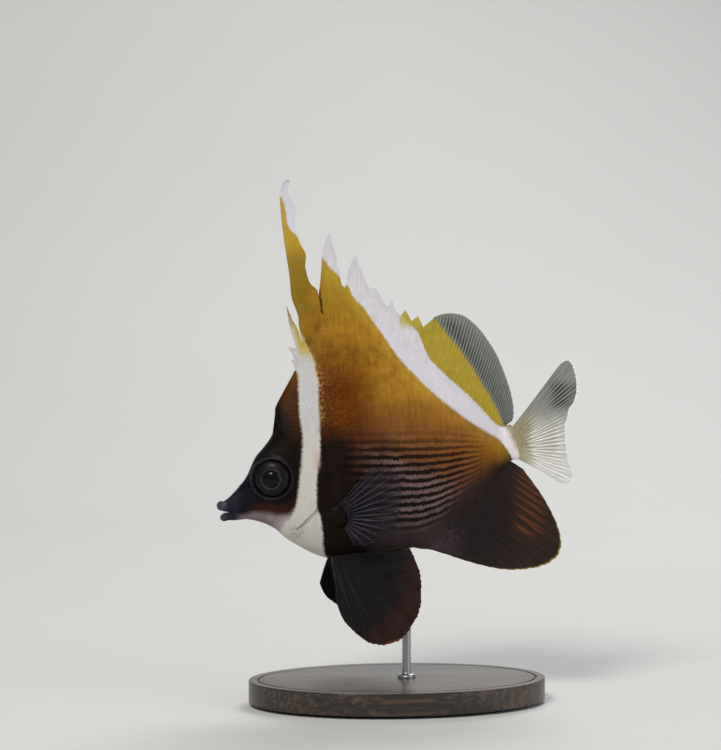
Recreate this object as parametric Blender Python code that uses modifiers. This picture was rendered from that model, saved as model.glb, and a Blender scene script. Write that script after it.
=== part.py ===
"""Horned bannerfish, life size, as a still museum model held by a plain display stand.

The fish faces -X and its mid plane is y = 0. It swims head down, as it does when it looks for food.
The origin is the centre of the stand's underside, on the floor. Lengths are in metres, +Z is up.
"""

import math
from dataclasses import dataclass

import bmesh
import bpy
from mathutils import Matrix, Vector
from mathutils.bvhtree import BVHTree

MM = 0.001
GAP = 0.3 * MM

# Thickness of the fish along its edges, in millimetres: a round edge, and one that carries a fin.
ROUND_EDGE = 0.3
FIN_EDGE = 0.55

RINGS_PER_STATION = 2
HALF_RING = 12
CURVE_STEPS = 12
TUBE_RESOLUTION = 3

# Fins, in millimetres
FIN_ROOT = 1.05
FIN_WEB = 0.5
FIN_RAY = 0.9
FIN_MARGIN = 0.3
RAY_AT_MARGIN = 0.45
SOFT_SWAY = 0.6
TAIL_SWAY = 0.5
BANNER_CURL = 1.6

EYE_RADIUS = 5.0
EYE_DEPTH = 2.25
SOCKET_RADIUS = EYE_RADIUS + GAP / MM
SOCKET_DEPTH = 2.6
ORBIT_RIM = (0.7, 0.5)
EYE_CENTRE = (-36.0, 4.6, 63.9)
EYE_TURN = math.radians(17)

STAND_HEIGHT = 7.0
STAND_LENGTH = 84.0
STAND_DEPTH = 56.0
ROD_RADIUS = 1.25
ROD_X = 2.6

# How far a cutter reaches on either side of the mid plane: past the flanks, and past the lips only
REACH = 20.0
GAPE_REACH = 4.0


@dataclass(frozen=True)
class Station:
    """One slanted cross-section of the body, in millimetres, from back to belly."""

    top: tuple
    bottom: tuple
    half_width: float
    level: float
    back_sharp: float
    belly_sharp: float

    def values(self):
        """All the sizes as one flat tuple, so that two stations can be blended."""
        return (*self.top, *self.bottom, self.half_width, self.level, self.back_sharp, self.belly_sharp)


# From the lips to the root of the tail fin. level is the height of the widest place as a share of
# the section, and a sharp edge of 1 is a wedge that carries a fin, where 0 is a round edge.
STATIONS = (
    Station((-49.7, 57.0), (-48.7, 52.3), 1.3, 0.50, 0.0, 0.0),
    Station((-48.0, 58.0), (-46.9, 52.1), 1.8, 0.50, 0.0, 0.0),
    Station((-46.1, 59.8), (-44.1, 52.2), 2.2, 0.50, 0.0, 0.0),
    Station((-44.2, 62.0), (-41.6, 52.1), 2.7, 0.50, 0.0, 0.0),
    Station((-42.5, 64.6), (-39.4, 51.6), 3.3, 0.52, 0.0, 0.0),
    Station((-41.3, 67.4), (-36.9, 50.7), 4.0, 0.55, 0.0, 0.1),
    Station((-39.9, 70.0), (-34.3, 49.2), 4.7, 0.58, 0.0, 0.1),
    Station((-37.7, 72.6), (-31.8, 46.9), 5.4, 0.57, 0.1, 0.2),
    Station((-35.7, 75.5), (-28.4, 44.8), 6.0, 0.52, 0.2, 0.3),
    Station((-34.5, 79.2), (-24.2, 42.5), 6.5, 0.47, 0.3, 0.3),
    Station((-34.6, 83.2), (-19.4, 41.0), 7.0, 0.43, 0.5, 0.2),
    Station((-32.3, 87.9), (-14.6, 41.2), 7.3, 0.40, 0.7, 0.2),
    Station((-29.0, 94.0), (-9.8, 42.0), 7.4, 0.38, 0.9, 0.2),
    Station((-26.6, 100.0), (-4.7, 42.7), 7.4, 0.37, 1.0, 0.2),
    Station((-22.6, 105.7), (0.2, 43.2), 7.2, 0.37, 1.0, 0.3),
    Station((-16.5, 109.0), (4.9, 43.7), 6.8, 0.38, 1.0, 0.6),
    Station((-10.1, 108.2), (9.3, 44.9), 6.3, 0.40, 1.0, 1.0),
    Station((-3.6, 104.4), (13.8, 47.7), 5.7, 0.42, 1.0, 1.0),
    Station((3.5, 98.8), (18.4, 51.0), 5.0, 0.45, 1.0, 1.0),
    Station((10.7, 93.1), (22.4, 55.2), 4.3, 0.47, 1.0, 1.0),
    Station((17.8, 87.5), (25.9, 59.4), 3.6, 0.50, 0.9, 0.9),
    Station((24.1, 82.4), (28.7, 63.7), 3.0, 0.50, 0.6, 0.6),
    Station((29.3, 78.7), (31.3, 67.1), 2.4, 0.50, 0.4, 0.4),
    Station((31.6, 77.9), (33.3, 68.1), 2.0, 0.50, 0.3, 0.3),
    Station((33.1, 77.9), (35.1, 67.9), 1.6, 0.50, 0.3, 0.3),
)
LAST = len(STATIONS) - 1

# Where the head ends: down the hind edge of the gill cover, from the nape to the throat.
GILL_CUT = ((-40.0, 99.0), (-29.5, 92.0), (-25.4, 83.0), (-22.0, 73.0), (-21.6, 66.0), (-22.2, 60.0),
            (-22.3, 54.0), (-21.2, 48.0), (-19.6, 43.0), (-18.0, 35.0))
TAIL_CUT = ((26.6, 90.0), (30.3, 60.0))
JAW_CUT = ((-46.9, 54.4), (-45.2, 54.2), (-43.4, 53.3), (-42.2, 51.7), (-41.6, 49.0))
GAPE = ((-46.6, 54.4), (-55.0, 55.4), (-55.0, 53.0))

# Each lip as (x, y, z, radius), from the corner of the mouth to the mid plane.
UPPER_LIP = ((-46.9, 1.5, 55.3, 0.75), (-48.3, 1.5, 55.9, 1.0), (-49.3, 0.85, 56.1, 1.3),
             (-49.55, 0.0, 56.15, 1.4))
LOWER_LIP = ((-46.7, 1.35, 53.4, 0.65), (-48.0, 1.2, 53.0, 0.85), (-48.7, 0.7, 52.9, 1.0),
             (-48.95, 0.0, 52.9, 1.05))

NOSTRILS = ((-43.7, 61.2), (-42.3, 61.9))
NOSTRIL_RIM = (0.72, 0.5, 0.62)
NOSTRIL_PIT = (0.38, 0.7, 0.33)

# The gill cover's own outline. Its hind side runs past the end of the head, which trims it.
GILL_COVER = ((-27.6, 70.5), (-28.8, 65.0), (-29.8, 59.5), (-30.2, 54.0), (-28.4, 49.9), (-25.0, 48.6),
              (-19.0, 49.5), (-16.0, 60.0), (-19.0, 71.5), (-23.5, 73.0))
GILL_COVER_DEPTH = 0.86
GILL_POCKET_DEPTH = 0.80

# The spiny part of the back fin: margins in millimetres, and the tips among them.
FRONT_MARGIN = ((-29.2, 94.4), (-30.0, 96.7), (-28.9, 96.9), (-30.9, 100.3), (-28.6, 99.9), (-30.5, 106.2),
                (-31.4, 112.0), (-29.7, 107.9), (-28.1, 105.2))
FRONT_TIPS = (1, 3, 6)
FRONT_ROOT = (12.1, 13.05)

BANNER_FRONT = ((-27.7, 105.5), (-28.1, 109.1), (-29.8, 114.0), (-30.5, 120.4), (-31.6, 127.5),
                (-32.4, 133.5), (-32.8, 138.1), (-33.0, 142.5), (-32.3, 145.6), (-31.2, 146.8), (-30.2, 146.7))
BANNER_REAR = ((-22.3, 111.5), (-22.6, 115.9), (-24.8, 118.3), (-26.0, 122.6), (-25.9, 126.1),
               (-27.7, 129.7), (-28.9, 134.6), (-28.5, 138.9), (-30.2, 142.0), (-31.0, 144.6), (-30.1, 146.1))
BANNER_ROOT = (13.15, 14.0)

SPINES_MARGIN = ((-21.7, 112.5), (-21.8, 119.0), (-21.2, 127.5), (-19.2, 132.2), (-17.5, 126.0), (-15.8, 117.6),
                 (-14.9, 116.9), (-14.5, 117.8), (-13.9, 121.9), (-12.0, 126.3), (-9.7, 120.4), (-8.3, 116.9),
                 (-6.1, 116.5), (-3.9, 112.6), (-2.7, 111.5), (-1.6, 113.4), (-0.9, 110.6), (0.8, 108.9),
                 (2.2, 110.6), (4.0, 107.5), (5.8, 108.9), (7.3, 105.8), (9.9, 108.3))
SPINES_TIPS = (3, 9, 12, 15, 18, 20, 22)
SPINES_ROOT = (14.1, 18.45)

SOFT_MARGIN = ((10.25, 108.5), (12.6, 109.4), (15.7, 109.7), (19.3, 108.8), (23.0, 105.7), (25.9, 101.8),
               (28.1, 98.2), (30.3, 93.1), (32.1, 88.1), (33.1, 83.7), (33.2, 80.6), (32.6, 79.0))
SOFT_ROOT = (18.55, 22.75)
SOFT_RAYS = 23

ANAL_MARGIN = ((9.0, 43.4), (14.3, 41.6), (18.7, 40.0), (25.2, 38.1), (31.1, 37.0), (37.0, 37.1), (42.2, 38.2),
               (45.9, 40.7), (47.0, 44.3), (46.2, 48.7), (44.3, 53.1), (41.4, 58.2), (37.9, 63.0), (35.9, 65.6))
ANAL_ROOT = (15.2, 22.6)
ANAL_RAYS = 20

TAIL_MARGIN = ((46.8, 95.4), (48.9, 96.7), (50.4, 95.6), (51.4, 92.8), (51.8, 90.2), (51.7, 87.2), (50.7, 84.4),
               (49.4, 82.6), (49.0, 80.5), (48.3, 78.1), (48.3, 75.3), (48.7, 71.3), (49.3, 67.7), (50.4, 64.9),
               (50.6, 62.5), (49.0, 61.1), (46.3, 61.9))
TAIL_RAYS = 17

# The pelvic fins hang below the chest: along the body, and out along the fin from its root.
PELVIC_MARGIN = ((-18.1, 12.3), (-16.4, 17.4), (-13.1, 21.3), (-9.8, 24.0), (-6.0, 25.0), (-2.7, 24.8),
                 (0.6, 22.9), (4.0, 18.7), (5.7, 14.4), (6.2, 10.2), (5.7, 4.0), (3.4, -1.5))
PELVIC_ROOT = (-19.0, -14.6)
PELVIC_ROOT_Y = 2.1
PELVIC_RAYS = 9
PELVIC_BOW = 0.8
PELVIC_SPLAY = {"left": math.radians(14), "right": math.radians(42)}
PELVIC_FORWARD = {"left": 0.0, "right": 2.6}

# The pectoral fins stand out behind the gill covers: along the body and up, seen from the side.
PECTORAL_ROOT = ((-17.8, 56.7), (-16.0, 55.3), (-15.0, 53.4), (-14.9, 51.4), (-15.7, 49.9))
PECTORAL_MARGIN = ((-9.2, 65.6), (-5.4, 66.6), (-2.2, 64.6), (-0.8, 60.4), (-0.9, 55.4), (-2.6, 51.4),
                   (-6.0, 48.0), (-10.2, 46.4))
PECTORAL_RAYS = 14
PECTORAL_BOW = 0.5
PECTORAL_OUT = math.tan(math.radians(17))
PECTORAL_PAD = (-17.6, 6.6, 53.2)
PECTORAL_PAD_RADII = (2.5, 1.6, 3.2)


@dataclass(frozen=True)
class Finish:
    """Colour as sRGB from 0 to 1, roughness and metallic value of one part's surface."""

    colour: tuple
    roughness: float
    metallic: float = 0.0


FINISHES = {
    "head_skin": Finish((0.13, 0.09, 0.08), 0.45),
    "body_skin": Finish((0.52, 0.33, 0.12), 0.45),
    "tail_skin": Finish((0.88, 0.84, 0.86), 0.45),
    "fin_gold": Finish((0.72, 0.52, 0.10), 0.5),
    "fin_white": Finish((0.86, 0.86, 0.88), 0.5),
    "fin_dark": Finish((0.12, 0.08, 0.07), 0.5),
    "fin_clear": Finish((0.30, 0.26, 0.30), 0.4),
    "eye": Finish((0.05, 0.045, 0.05), 0.1),
    "stand_wood": Finish((0.06, 0.055, 0.05), 0.35),
    "stand_steel": Finish((0.62, 0.62, 0.63), 0.3, 1.0),
}


def linear(channel):
    """One sRGB channel as linear light."""
    return channel / 12.92 if channel <= 0.04045 else ((channel + 0.055) / 1.055) ** 2.4


def dress(obj, finish_name):
    """Gives the object a Principled material of its own in that finish."""
    finish = FINISHES[finish_name]
    made = bpy.data.materials.new(obj.name)
    made.use_nodes = True
    shader = made.node_tree.nodes["Principled BSDF"]
    shader.inputs["Base Color"].default_value = (*(linear(c) for c in finish.colour), 1.0)
    shader.inputs["Roughness"].default_value = finish.roughness
    shader.inputs["Metallic"].default_value = finish.metallic
    obj.data.materials.clear()
    obj.data.materials.append(made)
    return obj


def clear_scene():
    """Removes every object that the scene starts with."""
    for obj in list(bpy.data.objects):
        bpy.data.objects.remove(obj)


def new_collection(name, hidden=False):
    """A collection linked to the scene."""
    made = bpy.data.collections.new(name)
    made.hide_render = hidden
    bpy.context.scene.collection.children.link(made)
    return made


def mesh_object(name, bm, collection):
    """An object that holds the bmesh, which is freed."""
    mesh = bpy.data.meshes.new(name)
    bm.to_mesh(mesh)
    bm.free()
    obj = bpy.data.objects.new(name, mesh)
    collection.objects.link(obj)
    return obj


def blend_points(points, s):
    """The values at place s on the smooth curve that passes through the points at s = 0, 1, 2 and so on."""
    last = len(points) - 1
    i = max(0, min(int(s), last - 1))
    f = s - i
    before, here, there, after = (points[min(max(k, 0), last)] for k in (i - 1, i, i + 1, i + 2))
    return tuple(
        0.5 * (2 * b + (c - a) * f + (2 * a - 5 * b + 4 * c - d) * f**2 + (3 * b - a - 3 * c + d) * f**3)
        for a, b, c, d in zip(before, here, there, after)
    )


def evenly_along(points, shares):
    """Points at these shares of the length of the smooth curve through the given points."""
    spans = len(points) - 1
    fine = [Vector(blend_points(points, k / CURVE_STEPS)) for k in range(spans * CURVE_STEPS + 1)]
    reached = [0.0]
    for a, b in zip(fine, fine[1:]):
        reached.append(reached[-1] + (b - a).length)
    found = []
    k = 0
    for share in shares:
        goal = share * reached[-1]
        while k < len(fine) - 2 and reached[k + 1] < goal:
            k += 1
        span = reached[k + 1] - reached[k]
        found.append(fine[k].lerp(fine[k + 1], (goal - reached[k]) / span if span else 0.0))
    return found


def shares_of(count):
    """count numbers spread evenly from 0 to 1."""
    return [k / (count - 1) for k in range(count)]


def station_at(s):
    """The station at place s, with the ones on either side blended."""
    v = blend_points([station.values() for station in STATIONS], s)
    return Station((v[0], v[1]), (v[2], v[3]), *v[4:])


def half_section(station):
    """One side of a cross-section from belly to back, as (x, z, distance from the mid plane)."""
    bottom, top = Vector(station.bottom), Vector(station.top)
    found = []
    for k in range(HALF_RING + 1):
        turn = math.cos(math.pi * k / HALF_RING)
        share = abs(turn)
        sharp = station.belly_sharp if turn > 0 else station.back_sharp
        edge = ROUND_EDGE + (FIN_EDGE - ROUND_EDGE) * sharp
        drop = (1 - share ** (2.6 - 0.9 * sharp)) ** (0.42 + 0.5 * sharp)
        height = station.level * (1 - share) if turn > 0 else station.level + (1 - station.level) * share
        place = bottom.lerp(top, height)
        found.append((place.x, place.y, edge + (station.half_width - edge) * drop))
    return found


def back_line(s, away=0.0):
    """The back's own line at place s, moved outwards by away."""
    return edge_line(s, away, 0)


def belly_line(s, away=0.0):
    """The belly's own line at place s, moved outwards by away."""
    return edge_line(s, away, 1)


def edge_line(s, away, side):
    """A point of the outline, where side 0 is the back and side 1 is the belly."""
    lines = ([station.top for station in STATIONS], [station.bottom for station in STATIONS])
    here = Vector(blend_points(lines[side], s))
    step = 0.05
    ahead = Vector(blend_points(lines[side], min(s + step, LAST)))
    behind = Vector(blend_points(lines[side], max(s - step, 0)))
    along = (ahead - behind).normalized()
    out = Vector((-along.y, along.x)) if side == 0 else Vector((along.y, -along.x))
    return here + out * away


def root_line(line, span):
    """A fin's root as a function of its share: a stretch of the back's or the belly's line, a gap away."""
    start, end = span
    return lambda u: line(start + (end - start) * u, GAP / MM)


def make_body(collection, flatten=1.0):
    """The whole body without fins, lofted through its stations. flatten thins it towards the mid plane."""
    bm = bmesh.new()
    rings = []
    for k in range(LAST * RINGS_PER_STATION + 1):
        side = half_section(station_at(k / RINGS_PER_STATION))
        ring = [bm.verts.new((x * MM, -y * flatten * MM, z * MM)) for x, z, y in side]
        ring += [bm.verts.new((x * MM, y * flatten * MM, z * MM)) for x, z, y in reversed(side)]
        rings.append(ring)
    for a, b in zip(rings, rings[1:]):
        for k in range(len(a)):
            n = (k + 1) % len(a)
            bm.faces.new((a[k], b[k], b[n], a[n]))
    bm.faces.new(rings[0])
    bm.faces.new(reversed(rings[-1]))
    bmesh.ops.recalc_face_normals(bm, faces=bm.faces)
    return mesh_object("body", bm, collection)


def prism(name, outline, collection, reach=REACH):
    """A flat outline in the side view, carried through the whole fish as a cutter."""
    bm = bmesh.new()
    face = bm.faces.new([bm.verts.new((x * MM, -reach * MM, z * MM)) for x, z in outline])
    grown = bmesh.ops.extrude_face_region(bm, geom=[face])
    moved = [v for v in grown["geom"] if isinstance(v, bmesh.types.BMVert)]
    bmesh.ops.translate(bm, verts=moved, vec=(0, 2 * reach * MM, 0))
    bmesh.ops.recalc_face_normals(bm, faces=bm.faces)
    return hide(mesh_object(name, bm, collection))


def thin_cut(name, line, collection):
    """A thin wall along a line in the side view, which parts what it passes through."""
    smooth = evenly_along(line, shares_of(3 * len(line)))
    sides = ([], [])
    for k, here in enumerate(smooth):
        along = (smooth[min(k + 1, len(smooth) - 1)] - smooth[max(k - 1, 0)]).normalized()
        out = Vector((-along.y, along.x)) * GAP / MM / 2
        sides[0].append(here + out)
        sides[1].append(here - out)
    return prism(name, [tuple(p) for p in sides[0] + sides[1][::-1]], collection)


def hide(cutter):
    """Marks a cutter as a helper that isn't shown."""
    cutter.hide_render = True
    cutter.display_type = "WIRE"
    return cutter


def apply_boolean(obj, operation, others):
    """Cuts, joins or trims obj by the other objects, which are then removed."""
    group = bpy.data.collections.new("pieces")
    bpy.context.scene.collection.children.link(group)
    for other in others:
        group.objects.link(other)
    modifier = obj.modifiers.new("boolean", "BOOLEAN")
    modifier.operation = operation
    modifier.solver = "EXACT"
    modifier.operand_type = "COLLECTION"
    modifier.collection = group
    bake_modifiers(obj)
    for other in others:
        bpy.data.objects.remove(other)
    bpy.data.collections.remove(group)
    return obj


def bake_modifiers(obj):
    """Replaces the object's mesh with the one that its modifiers make."""
    graph = bpy.context.evaluated_depsgraph_get()
    made = bpy.data.meshes.new_from_object(obj.evaluated_get(graph), depsgraph=graph)
    obj.modifiers.clear()
    obj.data = made
    return obj


def tube(name, path, radii, collection):
    """A closed round tube along points, in millimetres, with its own radius at each one."""
    curve = bpy.data.curves.new(name, "CURVE")
    curve.dimensions = "3D"
    curve.bevel_depth = MM
    curve.bevel_resolution = TUBE_RESOLUTION
    curve.use_fill_caps = True
    spline = curve.splines.new("POLY")
    spline.points.add(len(path) - 1)
    for point, place, radius in zip(spline.points, path, radii):
        point.co = (*(Vector(place) * MM), 1.0)
        point.radius = radius
    source = bpy.data.objects.new(name, curve)
    collection.objects.link(source)
    graph = bpy.context.evaluated_depsgraph_get()
    mesh = bpy.data.meshes.new_from_object(source.evaluated_get(graph), depsgraph=graph)
    made = bpy.data.objects.new(name, mesh)
    made.matrix_world = source.matrix_world
    bpy.data.objects.remove(source)
    collection.objects.link(made)
    bm = bmesh.new()
    bm.from_mesh(mesh)
    bmesh.ops.remove_doubles(bm, verts=bm.verts, dist=0.01 * MM)
    bmesh.ops.recalc_face_normals(bm, faces=bm.faces)
    bm.to_mesh(mesh)
    bm.free()
    return made


def ball(name, centre, radii, collection, segments=12):
    """An ellipsoid, in millimetres."""
    bm = bmesh.new()
    bmesh.ops.create_uvsphere(bm, u_segments=segments, v_segments=segments // 2 + 1, radius=1.0)
    bm.transform(Matrix.Translation(Vector(centre) * MM) @ Matrix.Diagonal((*(Vector(radii) * MM), 1.0)))
    return mesh_object(name, bm, collection)


def eye_place(side):
    """The eye's own frame: its origin on the head's side, its +Z looking out of the head."""
    x, y, z = EYE_CENTRE
    out = Vector((-math.sin(EYE_TURN), side * math.cos(EYE_TURN), 0.0))
    return Matrix.Translation(Vector((x, side * y, z)) * MM) @ out.to_track_quat("Z", "Y").to_matrix().to_4x4()


def lathe(name, profile, collection, place, steps=28):
    """A round shape turned from (radius, height) points, from its top down its outer side."""
    bm = bmesh.new()
    verts = [bm.verts.new((r * MM, 0, h * MM)) for r, h in profile]
    for a, b in zip(verts, verts[1:]):
        bm.edges.new((a, b))
    obj = mesh_object(name, bm, collection)
    screw = obj.modifiers.new("turn", "SCREW")
    screw.steps = screw.render_steps = steps
    screw.use_merge_vertices = True
    screw.merge_threshold = 0.00001
    bake_modifiers(obj)
    obj.data.transform(place)
    return obj


def lips(collection):
    """The two lips, each a rounded roll that runs from corner to corner round the snout's front."""
    made = []
    for name, half in (("upper_lip", UPPER_LIP), ("lower_lip", LOWER_LIP)):
        path = [(x, -y, z) for x, y, z, radius in half] + [(x, y, z) for x, y, z, radius in half[-2::-1]]
        radii = [point[3] for point in (*half, *half[-2::-1])]
        made.append(tube(name, path, radii, collection))
    return made


def body_forms(collection, tree):
    """What is raised on the body: lips, the rims round the eyes and nostrils, and the fin pads."""
    made = lips(collection)
    width, height = ORBIT_RIM
    for side in (-1, 1):
        ring = [(SOCKET_RADIUS + width * (0.5 + math.cos(a)), height * (math.sin(a) - 0.3))
                for a in (math.pi - k * math.pi / 4 for k in range(8))]
        made.append(lathe("orbit_rim", ring + ring[:1], collection, eye_place(side)))
        for x, z in NOSTRILS:
            y = flank(tree, side, x, z) - NOSTRIL_RIM[1] / 2
            made.append(ball("nostril_rim", (x, side * y, z), NOSTRIL_RIM, collection))
        x, y, z = PECTORAL_PAD
        made.append(ball("pectoral_pad", (x, side * y, z), PECTORAL_PAD_RADII, collection, 20))
    return made


def body_hollows(collection, tree):
    """What is cut into the body: eye sockets, nostrils and the open mouth."""
    made = [prism("gape", GAPE, collection, GAPE_REACH)]
    socket = ((0.0, EYE_RADIUS), (SOCKET_RADIUS, EYE_RADIUS),
              (SOCKET_RADIUS, -SOCKET_DEPTH), (0.0, -SOCKET_DEPTH))
    for side in (-1, 1):
        made.append(hide(lathe("socket", socket, collection, eye_place(side))))
        for x, z in NOSTRILS:
            y = flank(tree, side, x, z) + NOSTRIL_RIM[1] / 2
            made.append(hide(ball("nostril", (x, side * y, z), NOSTRIL_PIT, collection)))
    return made


def largest_surface(obj):
    """Keeps only the largest closed surface of the object's mesh."""
    bm = bmesh.new()
    bm.from_mesh(obj.data)
    left, groups = set(bm.verts), []
    while left:
        found, edge = set(), [left.pop()]
        while edge:
            v = edge.pop()
            found.add(v)
            for e in v.link_edges:
                other = e.other_vert(v)
                if other in left:
                    left.discard(other)
                    edge.append(other)
        groups.append(found)
    groups.sort(key=len, reverse=True)
    for group in groups[1:]:
        bmesh.ops.delete(bm, geom=list(group), context="VERTS")
    bm.to_mesh(obj.data)
    bm.free()
    return obj


def loose_pieces(obj):
    """Parts the object's mesh into one object for each closed surface."""
    for other in bpy.context.selected_objects:
        other.select_set(False)
    obj.select_set(True)
    bpy.context.view_layer.objects.active = obj
    bpy.ops.mesh.separate(type="LOOSE")
    return list(bpy.context.selected_objects)


def middle_of(obj):
    """The middle of the object's box, in millimetres."""
    corners = [Vector(c) for c in obj.bound_box]
    return sum(corners, Vector()) / len(corners) / MM


def part_body(body, cutters):
    """Parts the whole body with thin cuts and names the pieces from snout to tail."""
    cuts = [thin_cut("gill_cut", GILL_CUT, cutters), thin_cut("tail_cut", TAIL_CUT, cutters),
            thin_cut("jaw_cut", JAW_CUT, cutters)]
    apply_boolean(body, "DIFFERENCE", cuts)
    pieces = sorted(loose_pieces(body), key=lambda obj: -len(obj.data.vertices))[:4]
    pieces.sort(key=lambda obj: middle_of(obj).x)
    for piece, name in zip(pieces, ("lower_jaw", "head", "trunk", "tail_stalk")):
        piece.name = name
    return {piece.name: piece for piece in pieces}


def gill_covers(head, fish, cutters):
    """Cuts a shallow pocket in each cheek and leaves the gill cover in it as a plate of its own."""
    edge = [tuple(p) for p in evenly_along(GILL_COVER + GILL_COVER[:1], shares_of(33))[:-1]]
    centre = sum((Vector(p) for p in edge), Vector((0, 0))) / len(edge)
    grown = [tuple(Vector(p) + (Vector(p) - centre).normalized() * GAP / MM) for p in edge]
    plates = {}
    for name, side in (("gill_cover_left", -1), ("gill_cover_right", 1)):
        plate = bpy.data.objects.new(name, head.data.copy())
        fish.objects.link(plate)
        plates[name] = plate
        window = prism("window", edge, cutters)
        window.data.transform(Matrix.Translation((0, side * (REACH + 1) * MM, 0)))
        apply_boolean(plate, "INTERSECT", [window])
        apply_boolean(plate, "DIFFERENCE", [make_body(cutters, GILL_COVER_DEPTH)])
        largest_surface(plate)
    pocket = prism("pocket", grown, cutters)
    apply_boolean(pocket, "DIFFERENCE", [make_body(cutters, GILL_POCKET_DEPTH)])
    apply_boolean(head, "DIFFERENCE", [pocket])
    largest_surface(head)
    return plates


def eye(name, side, fish):
    """One eye: a flat-backed globe whose iris slopes up to the domed pupil."""
    profile = ((0.0, 1.95), (1.3, 1.8), (2.3, 1.45), (2.75, 1.1), (3.1, 1.05), (4.2, 0.6), (4.8, 0.15),
               (EYE_RADIUS, -0.3), (EYE_RADIUS, -1.9), (4.7, -EYE_DEPTH), (0.0, -EYE_DEPTH))
    dress(lathe(name, profile, fish, eye_place(side)), "eye")


def membrane(name, fish, finish, columns, rows, point_at, thickness_at):
    """A fin as one closed sheet whose rays stand up from its own surface.

    columns are the places across the rays. point_at(u, v) is a point of the middle surface and
    thickness_at(column, v) the thickness there, both in millimetres, with v from root to margin.
    """
    bm = bmesh.new()
    across = len(columns) - 1
    bmesh.ops.create_grid(bm, x_segments=across, y_segments=rows, size=1.0)
    weights = {}
    for v in bm.verts:
        i, j = round((v.co.x + 1) / 2 * across), round((v.co.y + 1) / 2 * rows)
        weights[v.index] = thickness_at(i, j / rows) / FIN_ROOT
        v.co = Vector(point_at(columns[i], j / rows)) * MM
    bmesh.ops.triangulate(bm, faces=bm.faces, quad_method="SHORT_EDGE")
    obj = dress(mesh_object(name, bm, fish), finish)
    group = obj.vertex_groups.new(name="thickness")
    for index, weight in weights.items():
        group.add([index], min(weight, 1.0), "REPLACE")
    solidify = obj.modifiers.new("thickness", "SOLIDIFY")
    solidify.thickness = FIN_ROOT * MM
    solidify.offset = 0.0
    solidify.vertex_group = group.name


def ease(x):
    """0 below 0, 1 above 1, and smooth between."""
    x = max(0.0, min(1.0, x))
    return x * x * (3 - 2 * x)


def ray_thickness(is_ray, v):
    """Thickness of a fin at a ray or between two, from its root at v = 0 to its margin at v = 1."""
    far = FIN_RAY - 0.25 * v if is_ray else FIN_WEB
    near = FIN_ROOT + (far - FIN_ROOT) * ease(v / 0.3)
    if v < 1:
        return near
    return RAY_AT_MARGIN if is_ray else FIN_MARGIN


def soft_fin(name, fish, finish, rays, rows, root, margin, wave):
    """A fin in the mid plane, with its rays spread evenly. root(u) is a function and margin a line."""
    columns = shares_of(2 * rays - 1)
    edge = dict(zip(columns, evenly_along(margin, columns)))

    def point_at(u, v):
        foot, tip = root(u), edge[u]
        place = foot.lerp(tip, v)
        sway = wave * v * v * math.sin(2.2 * math.pi * u + 0.6)
        return (place.x, sway, place.y)

    membrane(name, fish, finish, columns, rows, point_at, lambda i, v: ray_thickness(i % 2 == 0, v))


def spiny_fin(name, fish, finish, margin, tips, root, rows):
    """A stretch of the spiny back fin. Each spine ends in a point, and the web between them is notched."""
    columns = shares_of(len(margin))
    place_of = {u: Vector(p) for u, p in zip(columns, margin)}

    def point_at(u, v):
        place = root(u).lerp(place_of[u], v)
        return (place.x, 0.0, place.y)

    membrane(name, fish, finish, columns, rows, point_at, lambda i, v: ray_thickness(i in tips, v))


def banner(fish):
    """The long fourth spine of the back fin, with the ribbon of skin behind it that gives the fish its name."""
    rows, columns = 22, (0.0, 0.12, 0.3, 0.65, 1.0)
    shares = shares_of(rows + 1)
    root = root_line(back_line, BANNER_ROOT)
    front = evenly_along((tuple(root(0)), *BANNER_FRONT), shares)
    rear = evenly_along((tuple(root(1)), *BANNER_REAR), shares)

    def point_at(u, v):
        k = round(v * rows)
        place = front[k].lerp(rear[k], u) if k else root(u)
        return (place.x, BANNER_CURL * v**3, place.y)

    membrane("dorsal_banner", fish, "fin_gold", columns, rows, point_at,
             lambda i, v: ray_thickness(i in (1, 2), v))


def tail_fin(fish):
    """The tail fin, spread from the end of the tail stalk."""
    top, bottom = Vector(STATIONS[-1].top), Vector(STATIONS[-1].bottom)
    back = Vector((top.y - bottom.y, bottom.x - top.x)).normalized() * GAP / MM
    soft_fin("caudal_fin", fish, "fin_white", TAIL_RAYS, 7, lambda u: (top + back).lerp(bottom + back, u),
             TAIL_MARGIN, TAIL_SWAY)


def surface_of(obj):
    """A search tree of the object's surface, in metres."""
    bm = bmesh.new()
    bm.from_mesh(obj.data)
    tree = BVHTree.FromBMesh(bm)
    bm.free()
    return tree


def flank(tree, side, x, z):
    """Distance of the body's side from the mid plane at a place in the side view, in millimetres."""
    start = Vector((x, side * REACH, z)) * MM
    hit = tree.ray_cast(start, Vector((0, -side, 0)))[0]
    return abs(hit.y) / MM


def underside(tree, x, y):
    """Height of the body's underside at a place in the plan, in millimetres."""
    hit = tree.ray_cast(Vector((x, y, 0.0)) * MM, Vector((0, 0, 1)))[0]
    return hit.z / MM


def pectoral_fin(name, side, fish, tree):
    """A breast fin, a fan that stands out from the flank behind its fleshy pad."""
    columns = shares_of(2 * PECTORAL_RAYS - 1)
    foot_of = dict(zip(columns, evenly_along(PECTORAL_ROOT, columns)))
    tip_of = dict(zip(columns, evenly_along(PECTORAL_MARGIN, columns)))
    stand_off = FIN_ROOT / 2 + GAP / MM

    def point_at(u, v):
        foot, tip = foot_of[u], tip_of[u]
        foot_y = flank(tree, side, foot.x, foot.y) + stand_off
        tip_y = foot_y + (tip - foot).length * PECTORAL_OUT
        place = foot.lerp(tip, v)
        away = foot_y + (tip_y - foot_y) * v + PECTORAL_BOW * math.sin(math.pi * v)
        return (place.x, side * away, place.y)

    membrane(name, fish, "fin_clear", columns, 5, point_at, lambda i, v: ray_thickness(i % 2 == 0, v))


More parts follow.
